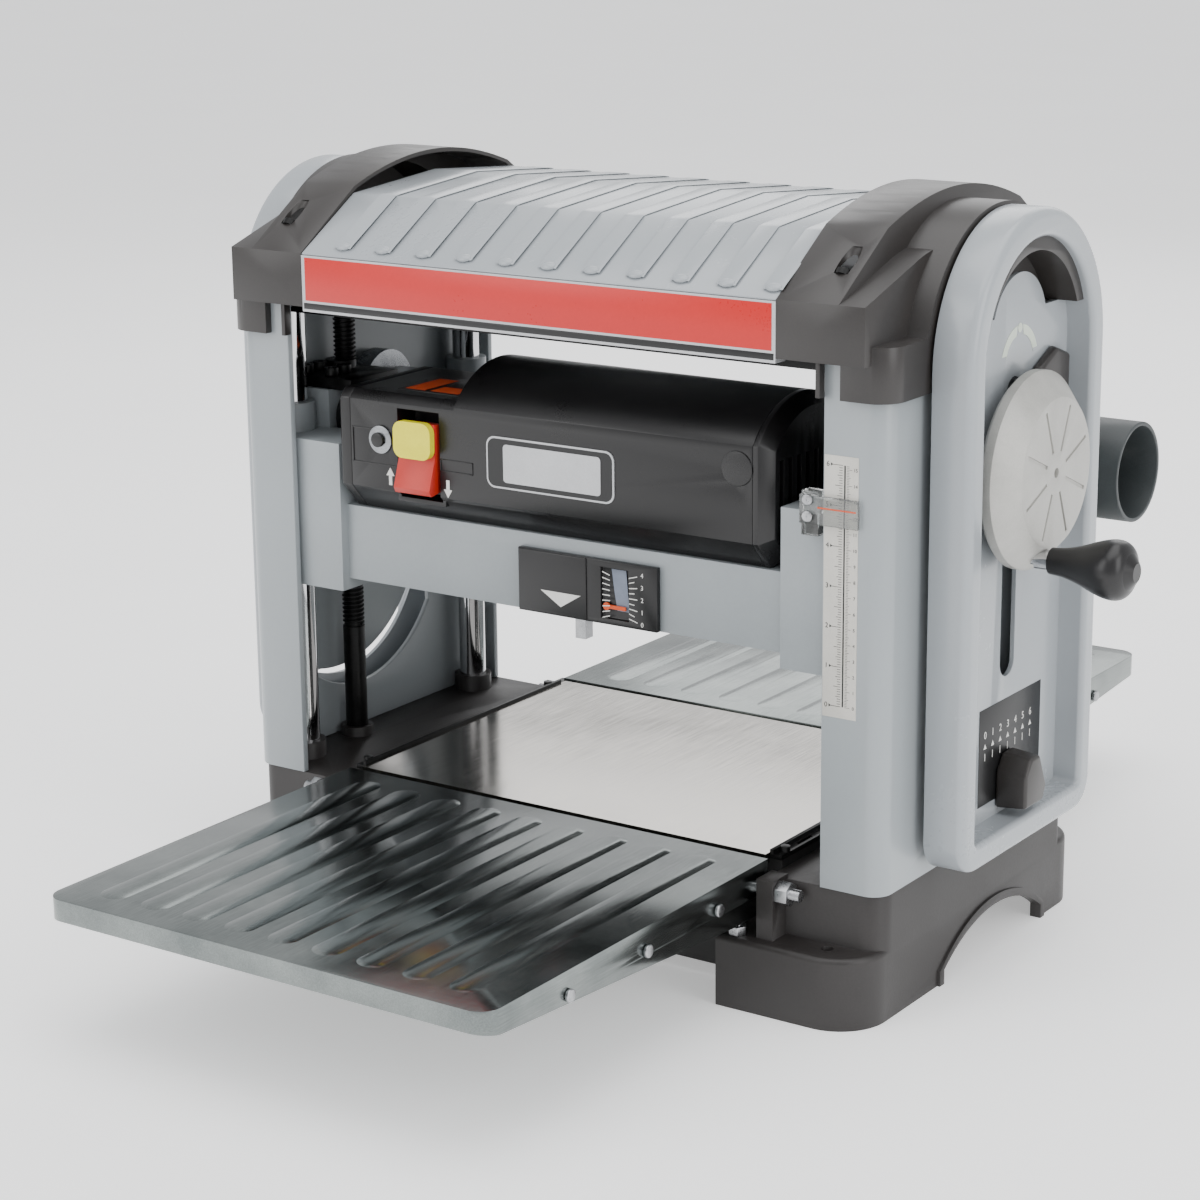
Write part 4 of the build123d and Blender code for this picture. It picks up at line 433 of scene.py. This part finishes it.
topRibs = {
    "first": -161.0, "pitch": 33.3, "count": 11, "wide": 14.0, "rise": 0.55, "round": 0.9,
    "profile": ((-141.0, 462.6), (-137.5, 464.9), (-91.2, 491.9), (-86.0, 492.7), (0.0, 499.2),
                (86.0, 492.7), (91.2, 491.9), (137.5, 464.9), (141.0, 462.6)),  # Y and Z
    "foot": 4.5, "footY": 139.5, "footZ": 463.8, "footTilt": 0.53,
}


def makeTopRibs(t):
    bm = bmesh.new()
    for i in range(t["count"]):
        x = t["first"] + i * t["pitch"]
        path = [bm.verts.new(millimetres(x, y, z)) for y, z in t["profile"]]
        edges = [bm.edges.new(pair) for pair in zip(path, path[1:])]
        grown = bmesh.ops.extrude_edge_only(bm, edges=edges)["geom"]
        bmesh.ops.translate(bm, vec=millimetres(t["wide"], 0, 0),
                            verts=[g for g in grown if isinstance(g, bmesh.types.BMVert)])
    bmesh.ops.recalc_face_normals(bm, faces=bm.faces)
    if sum(f.normal.z for f in bm.faces) < 0:
        bmesh.ops.reverse_faces(bm, faces=bm.faces)
    bmesh.ops.solidify(bm, geom=bm.faces[:], thickness=-t["rise"] / 1000)
    sharpEdges = [e for e in bm.edges if e.calc_face_angle(0) > 0.9]
    bevelEdges(bm, sharpEdges, t["round"], 3, clamp_overlap=True)
    finishPiece(bm, "top-ribs", "frame", "greyMouldedAbs", sharp=60)
    bm = bmesh.new()  # rounded foot at the end of each rib, front and rear
    for i in range(t["count"]):
        x = t["first"] + i * t["pitch"] + t["wide"] / 2
        for side in (-1, 1):
            tilt = Matrix.Rotation(side * -t["footTilt"], 3, "X")
            verts = bmesh.ops.create_uvsphere(bm, u_segments=20, v_segments=10,
                                              radius=t["foot"] / 1000)["verts"]
            bmesh.ops.scale(bm, vec=(1.3, 0.8, 0.45), verts=verts)
            bmesh.ops.rotate(bm, verts=verts, cent=(0, 0, 0), matrix=tilt)
            bmesh.ops.translate(bm, verts=verts, vec=millimetres(x, side * t["footY"], t["footZ"]))
    finishPiece(bm, "top-rib-feet", "frame", "greyMouldedAbs", sharp=80)


makeTopRibs(topRibs)
print("top cover ribbed")

sign = {
    "half": 184.0, "face": 147.0,
    "bands": (("red", 2.0, 426.5, 455.4, "redPrintedFilm"), ("black", 0.5, 420.8, 424.9, "blackPrintedFilm")),
}  # each band: name, inset at its ends, low and high edge, finish


def makeSign(s):
    for side, label in ((-1, "front"), (1, "rear")):
        for part, inset, low, high, finish in s["bands"]:
            bm = bmesh.new()
            half = s["half"] - inset
            addBlock(bm, (-half, side * (s["face"] - 0.2), low), (half, side * (s["face"] + 0.25), high),
                     0.12)
            finishPiece(bm, "sign-" + part + "-" + label, "frame", finish)


makeSign(sign)

scale = {
    "x": (211.6, 235.4), "z": (198.5, 364.0), "face": -133.0, "print": 0.46, "line": 226.0,
    "zero": 206.0, "inch": 25.4, "inches": 6, "millimetres": 152,
    "inchX": 214.2, "inchSize": 4.6, "metricX": 233.4, "metricSize": 3.0,
}


def makeDepthScale(s):
    y = s["face"]
    bm = bmesh.new()
    addBlock(bm, (s["x"][0], y - 0.35, s["z"][0]), (s["x"][1], y + 0.1, s["z"][1]), 0.12)
    finishPiece(bm, "scale-label", "frame", "creamLabelFilm")
    bm = bmesh.new()
    front = y - s["print"]
    end = s["zero"] + s["inches"] * s["inch"]
    addBlock(bm, (s["line"] - 0.5, front, s["zero"]), (s["line"] + 0.5, y, end))
    for i in range(16 * s["inches"] + 1):  # sixteenths of an inch on the left
        long = 7.0 if i % 16 == 0 else 5.0 if i % 8 == 0 else 3.6 if i % 4 == 0 else 2.4
        z = s["zero"] + i * s["inch"] / 16
        addBlock(bm, (s["line"] - 1.6 - long, front, z - 0.14), (s["line"] - 1.6, y, z + 0.14))
    for i in range(s["millimetres"] + 1):  # millimetres on the right
        long = 3.6 if i % 10 == 0 else 2.6 if i % 5 == 0 else 1.6
        z = s["zero"] + i
        addBlock(bm, (s["line"] + 1.4, front, z - 0.1), (s["line"] + 1.4 + long, y, z + 0.1))
    for i in range(s["inches"] + 1):
        x, z = s["inchX"], s["zero"] + i * s["inch"]
        place = Matrix.Translation(millimetres(x, y - 0.4, z)) @ facingFront
        addNumber(bm, str(i), s["inchSize"], place)
        addPlate(bm, [(x + 2, y, z - 1), (x + 2, y, z + 1), (x + 3.6, y, z)], (0, -s["print"], 0))
    for i in range(s["millimetres"] // 10 + 1):
        place = Matrix.Translation(millimetres(s["metricX"], y - 0.4, s["zero"] + 10 * i)) @ facingFront
        addNumber(bm, str(i), s["metricSize"], place)
    finishPiece(bm, "scale-print", "frame", "blackPrintedFilm")


makeDepthScale(scale)
print("sign and depth scale printed")

pointer = {"x": (209.0, 235.8), "z": 331.0, "face": -136.9, "screws": ((202.5, 325.0), (202.5, 335.4)),
           "headRadius": 3.6, "headHigh": 2.2}


def makePointerDetail(p):
    y = p["face"]
    bm = bmesh.new()
    addBlock(bm, (p["x"][0], y - 0.25, p["z"] - 0.45), (p["x"][1], y + 0.05, p["z"] + 0.45))
    finishPiece(bm, "pointer-hairline", "carriage", "orangeMouldedAbs")
    bm = bmesh.new()
    for x, z in p["screws"]:
        addDisc(bm, "y", (x, y - p["headHigh"], z), p["headRadius"], p["headHigh"], 0.7, 28)
        for dx, dz in ((2.6, 0.35), (0.35, 2.6)):  # the cross in the head
            addBlock(bm, (x - dx, y - 2.35, z - dz), (x + dx, y - 2.1, z + dz))
    finishPiece(bm, "pointer-screws", "carriage", "zincPlatedSteel")


makePointerDetail(pointer)

gauge = {
    "face": -122.0, "seam": 27.5, "cheek": (27.0, 229.4, 271.6),  # half width, low, high
    "window": ((45.1, 266.2), (56.4, 266.2), (57.6, 252.0), (59.0, 238.6), (49.4, 238.6), (47.0, 252.0)),
    "triangle": ((-9.0, 245.6), (23.0, 245.6), (7.0, 235.8)),
    "marks": 9, "markTop": 262.5, "markPitch": 3.4, "lean": 0.45, "numberX": 70.5,
}


def makeGaugeFace(g):
    y = g["face"]
    bm = bmesh.new()
    addPlate(bm, [(x, y, z) for x, z in g["triangle"]], (0, -0.25, 0))
    for i in range(g["marks"]):  # fan of marks both sides of the window
        z = g["markTop"] - i * g["markPitch"]
        lean = (4 - i) * g["lean"]
        right = 66.8 if i % 2 == 0 else 64.6
        for x0, z0, x1, z1 in ((39.6, z + lean, 45.4, z), (60.4, z, right, z + lean)):
            mark = [(x0, y, z0 - 0.3), (x0, y, z0 + 0.3), (x1, y, z1 + 0.3), (x1, y, z1 - 0.3)]
            addPlate(bm, mark, (0, -0.22, 0))
        if i % 2 == 0:
            place = Matrix.Translation(millimetres(g["numberX"], y - 0.1, z + lean * 1.6)) @ facingFront
            addNumber(bm, str(4 - i // 2), 4.4, place, 0.22)
    finishPiece(bm, "gauge-marks", "carriage", "whitePrintedInk")
    bm = bmesh.new()
    addPlate(bm, [(x, y + 3.0, z) for x, z in g["window"]], (0, -0.3, 0))
    finishPiece(bm, "gauge-window", "carriage", "slatePrintedFilm")
    bm = bmesh.new()
    half, low, high = g["cheek"]
    addBlock(bm, (g["seam"] - 0.3, y - 0.02, low + 0.2), (g["seam"] + 0.3, y + 0.5, high - 0.2))
    addBlock(bm, (-half, y - 1.1, low), (half, y + 0.4, high), 0.8, 3)
    finishPiece(bm, "gauge-cheek", "carriage", "blackFilledNylon")
    bm = bmesh.new()
    addPlate(bm, [(x, y - 1.15, z) for x, z in g["triangle"]], (0, -0.25, 0))
    finishPiece(bm, "gauge-arrow", "carriage", "whitePrintedInk")


makeGaugeFace(gauge)
print("pointer and gauge printed")

badge = {
    "face": -131.0,  # each layer: name, X range, Z range, height, corner radius, finish
    "layers": (("badge-ground", (-45.0, 56.0), (312.5, 347.0), 0.9, 6.5, "satinSilverFilm"),
               ("badge-field", (-43.7, 54.7), (313.8, 345.7), 1.2, 5.5, "blackPrintedFilm"),
               ("badge-plate", (-31.0, 46.0), (317.0, 342.5), 1.6, 2.5, "satinSilverFilm")),
}


def makeBadge(b):
    y = b["face"]
    for name, (x0, x1), (z0, z1), high, corner, finish in b["layers"]:
        bm = bmesh.new()
        verts = addBlock(bm, (x0, y - high, z0), (x1, y + 0.2, z1))
        bevelEdges(bm, edgesAlong(verts, 1), corner, 8)
        finishPiece(bm, name, "carriage", finish)


makeBadge(badge)

motor = {
    "face": -131.0, "reset": (-134.0, 334.0), "brush": (148.0, 347.0),
    "arrows": ((-126.5, 309.0, 1), (-78.0, 307.0, -1)),  # X, Z and the way each points
    "frames": ((-158.4, -119.8, 316.5, 341.0), (-84.0, -57.0, 318.0, 326.5)), "frameWide": 0.8,
}


def makeMotorDetail(m):
    y = m["face"]
    bm = bmesh.new()
    for x, z, way in m["arrows"]:  # on and off arrows beside the paddle
        addPlate(bm, [(x - 3.4, y, z + way), (x + 3.4, y, z + way), (x, y, z + way * 6.5)], (0, -0.25, 0))
        low, high = (z - 5.5, z + 0.9) if way > 0 else (z - 0.9, z + 5.5)
        addBlock(bm, (x - 1.3, y - 0.25, low), (x + 1.3, y, high))
    finishPiece(bm, "motor-arrows", "carriage", "whitePrintedInk")
    bm = bmesh.new()
    x, z = m["reset"]
    addDisc(bm, "y", (x, y - 1.2, z), 9.6, 1.3, 0.4, 48)
    finishPiece(bm, "reset-collar", "carriage", "groundToolSteel")
    bm = bmesh.new()
    addDisc(bm, "y", (x, y - 3.2, z), 4.6, 2.4, 0.6, 6)
    finishPiece(bm, "reset-nut", "carriage", "blackOxideSteel")
    bm = bmesh.new()
    wide = m["frameWide"]
    for left, right, low, high in m["frames"]:  # shallow frames raised on the face
        for x0, x1, z0, z1 in ((left, right, high - wide, high), (left, right, low, low + wide),
                               (left, left + wide, low, high), (right - wide, right, low, high)):
            addBlock(bm, (x0, y - 0.45, z0), (x1, y + 0.3, z1), 0.2)
    finishPiece(bm, "motor-frames", "carriage", "blackFilledNylon")
    bm = bmesh.new()
    x, z = m["brush"]
    addDisc(bm, "y", (x, y - 0.8, z), 11.2, 1.0, 0.4, 48)
    finishPiece(bm, "brush-rim", "carriage", "blackFilledNylon")


makeMotorDetail(motor)

rating = {
    "x": (-132.0, -80.0), "y": (-114.0, -66.0),
    "patches": ((-128.0, -112.0, -110.0, -72.0), (-107.0, -84.0, -110.0, -94.0)),  # X and Y ranges
}


def makeRatingPlate(r):  # blank plate on the flat of the motor shell, with two colour fields
    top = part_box("motor_end_cap")[1][2] * 1000
    bm = bmesh.new()
    addBlock(bm, (r["x"][0], r["y"][0], top - 0.2), (r["x"][1], r["y"][1], top + 0.4), 0.12)
    finishPiece(bm, "rating-plate", "carriage", "blackPrintedFilm")
    bm = bmesh.new()
    for x0, x1, y0, y1 in r["patches"]:
        addBlock(bm, (x0, y0, top), (x1, y1, top + 0.55))
    finishPiece(bm, "rating-fields", "carriage", "orangeMouldedAbs")


makeRatingPlate(rating)
print("motor face finished")

wedges = {
    "lock_lever": ((44.0, 391.0), ((-21, 7), (4, 18), (24, 11), (24, -15), (14, -17), (-4, -6), (-16, -2)),
                   (271.4, 278.0), "lock_lever"),
    "depth_stop_knob": ((3.0, 131.0), ((-16, -17), (12, -17), (17, -6), (6, 19), (-8, 19), (-16, 8)),
                        (271.4, 293.0), "depth_stop"),
}


def makeWedge(name, values):
    (y, z), outline, (x0, x1), body = values
    bm = bmesh.new()
    addPlate(bm, [(x0, y + dy, z + dz) for dy, dz in outline], (x1 - x0, 0, 0))
    top = [v for v in bm.verts if v.co.x > (x0 + x1) / 2000]
    centre = millimetres(x1, y, z)
    bmesh.ops.scale(bm, vec=(1, 0.9, 0.9), verts=top, space=Matrix.Translation(-centre))
    bevelEdges(bm, edgesOf(bm.verts), 2.2, 4, clamp_overlap=True)
    if name == "lock_lever":  # a pin turns in the panel; the stop has a tongue in its slot
        addDisc(bm, "x", (258.0, y, z), 5.0, 17, 0.4, 32)
    else:
        addBlock(bm, (247.0, y - 5, z - 3), (273.0, y + 5, z + 3), 0.3)
    made = finishPiece(bm, name.replace("_", "-") + "-grip", body, "charcoalMouldedAbs",
                       sharp=50)
    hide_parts(name)


for name, values in wedges.items():
    makeWedge(name, values)

panel = {
    "floor": 271.0, "plate": (-36.5, 50.0, 120.0, 185.0), "marks": 7, "firstMark": 8.0, "markPitch": 10.6,
    "centre": (6, 400), "outer": (26, 28), "inner": (20.5, 22),  # lock decal: Y and Z
    "arcs": ((22, 82), (98, 158)), "keyhole": (26, 3.0),  # degrees; distance and radius
}


def makePanelLabels(p):
    x = p["floor"]
    y0, y1, z0, z1 = p["plate"]
    bm = bmesh.new()
    addBlock(bm, (x - 0.1, y0, z0), (x + 0.3, y1, z1), 0.12)
    finishPiece(bm, "stop-label", "frame", "blackPrintedFilm")
    bm = bmesh.new()
    for i in range(p["marks"]):
        y = y0 + p["firstMark"] + i * p["markPitch"]
        addPlate(bm, [(x, y - 2, 158), (x, y + 2, 158), (x, y, 161.5)], (0.42, 0, 0))
        addNumber(bm, str(i), 7.0, Matrix.Translation(millimetres(x + 0.34, y, 167)) @ facingRight, 0.2)
        addBlock(bm, (x, y - 0.35, 150), (x + 0.42, y + 0.35, 155))
    finishPiece(bm, "stop-marks", "frame", "whitePrintedInk")
    bm = bmesh.new()  # lock decal: an arc in two bands with a small disc between them
    y, z = p["centre"]
    (outY, outZ), (inY, inZ) = p["outer"], p["inner"]
    for low, high in p["arcs"]:
        steps = [math.radians(low + (high - low) * k / 10) for k in range(11)]
        outer = [(x, y + outY * math.cos(a), z + outZ * math.sin(a)) for a in steps]
        inner = [(x, y + inY * math.cos(a), z + inZ * math.sin(a)) for a in reversed(steps)]
        addPlate(bm, outer + inner, (0.25, 0, 0))
    away, radius = p["keyhole"]
    addDisc(bm, "x", (x, y, z + away), radius, 0.25, 0, 24)
    finishPiece(bm, "lock-decal", "frame", "greenPrintedInk")


makePanelLabels(panel)
print("panel labels placed")

screws = {
    "x": 238.0, "y": -40.0, "core": 6.9, "crest": 8.0, "lead": 3.175, "stepsPerTurn": 18,
    "foot": 60.0, "thread": (168.0, 404.0), "top": 421.0,
}


def makeLeadScrews(s):
    low, high = s["thread"]
    core, crest = s["core"], s["crest"]
    for side, label in ((-1, "left"), (1, "right")):
        bm = bmesh.new()
        x, y = side * s["x"], s["y"]
        centre = millimetres(x, y, 0)
        addDisc(bm, "z", (x, y, s["foot"]), crest, low - s["foot"], 0.6, 40)
        addDisc(bm, "z", (x, y, low - 1), core, high - low + 2, 0, 40)
        addDisc(bm, "z", (x, y, high), crest, s["top"] - high, 0.6, 40)
        shape = ((core - 0.2, 0.2), (crest, 1.1), (crest, 1.9), (core - 0.2, 2.8))  # radius, rise
        path = [bm.verts.new(centre + millimetres(r, 0, low + dz)) for r, dz in shape]
        edges = [bm.edges.new(pair) for pair in zip(path, path[1:])]
        rounds = int((high - low - 3) / s["lead"])
        steps = rounds * s["stepsPerTurn"]
        bmesh.ops.spin(bm, geom=path + edges, cent=centre, axis=(0, 0, 1), angle=2 * math.pi * rounds,
                       steps=steps, dvec=(0, 0, rounds * s["lead"] / 1000 / steps), use_merge=False)
        made = finishPiece(bm, "lead-screw-" + label, "frame", "blackOxideSteel", sharp=50)
        if side < 0:
            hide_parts("lead_screws")


makeLeadScrews(screws)
print("lead screws threaded")

lights = {  # metres and watts
    "top": dict(place=(0.2, -0.2, 2.6), aim=(0, 0, 0.3), size=(2.6, 2.6), power=46),
    "front": dict(place=(-1.5, -2.3, 1.5), aim=(0, 0, 0.3), size=(1.6, 2.2), power=30),
    "side": dict(place=(2.5, -0.5, 1.3), aim=(0.1, 0, 0.3), size=(1.4, 2.0), power=24),
    "back": dict(place=(-0.8, 2.4, 1.8), aim=(0, 0, 0.3), size=(2.4, 1.6), power=22),
}
studio = {"sky": "#F7F8FA", "skyStrength": 1.0, "floorSize": 60}


def makeStudio(rig, room):
    for name, l in rig.items():
        data = bpy.data.lights.new(name, "AREA")
        data.shape = "RECTANGLE"
        data.size, data.size_y = l["size"]
        data.energy = l["power"]
        made = bpy.data.objects.new(name, data)
        scene.collection.objects.link(made)
        aim = Vector(l["aim"]) - Vector(l["place"])
        turn = aim.to_track_quat("-Z", "Y").to_matrix().to_4x4()
        made.matrix_world = Matrix.Translation(l["place"]) @ turn
    world = bpy.data.worlds.new("studio")
    world.use_nodes = True
    sky = world.node_tree.nodes["Background"].inputs
    sky[0].default_value = hexColour(room["sky"])
    sky[1].default_value = room["skyStrength"]
    scene.world = world
    bm = bmesh.new()
    bmesh.ops.create_grid(bm, x_segments=1, y_segments=1, size=room["floorSize"])
    mesh = bpy.data.meshes.new("floor")
    bm.to_mesh(mesh)
    bm.free()
    mesh.materials.append(mats["paintedFloor"])
    floor = bpy.data.objects.new("floor", mesh)
    scene.collection.objects.link(floor)


makeStudio(lights, studio)
print("studio lit")
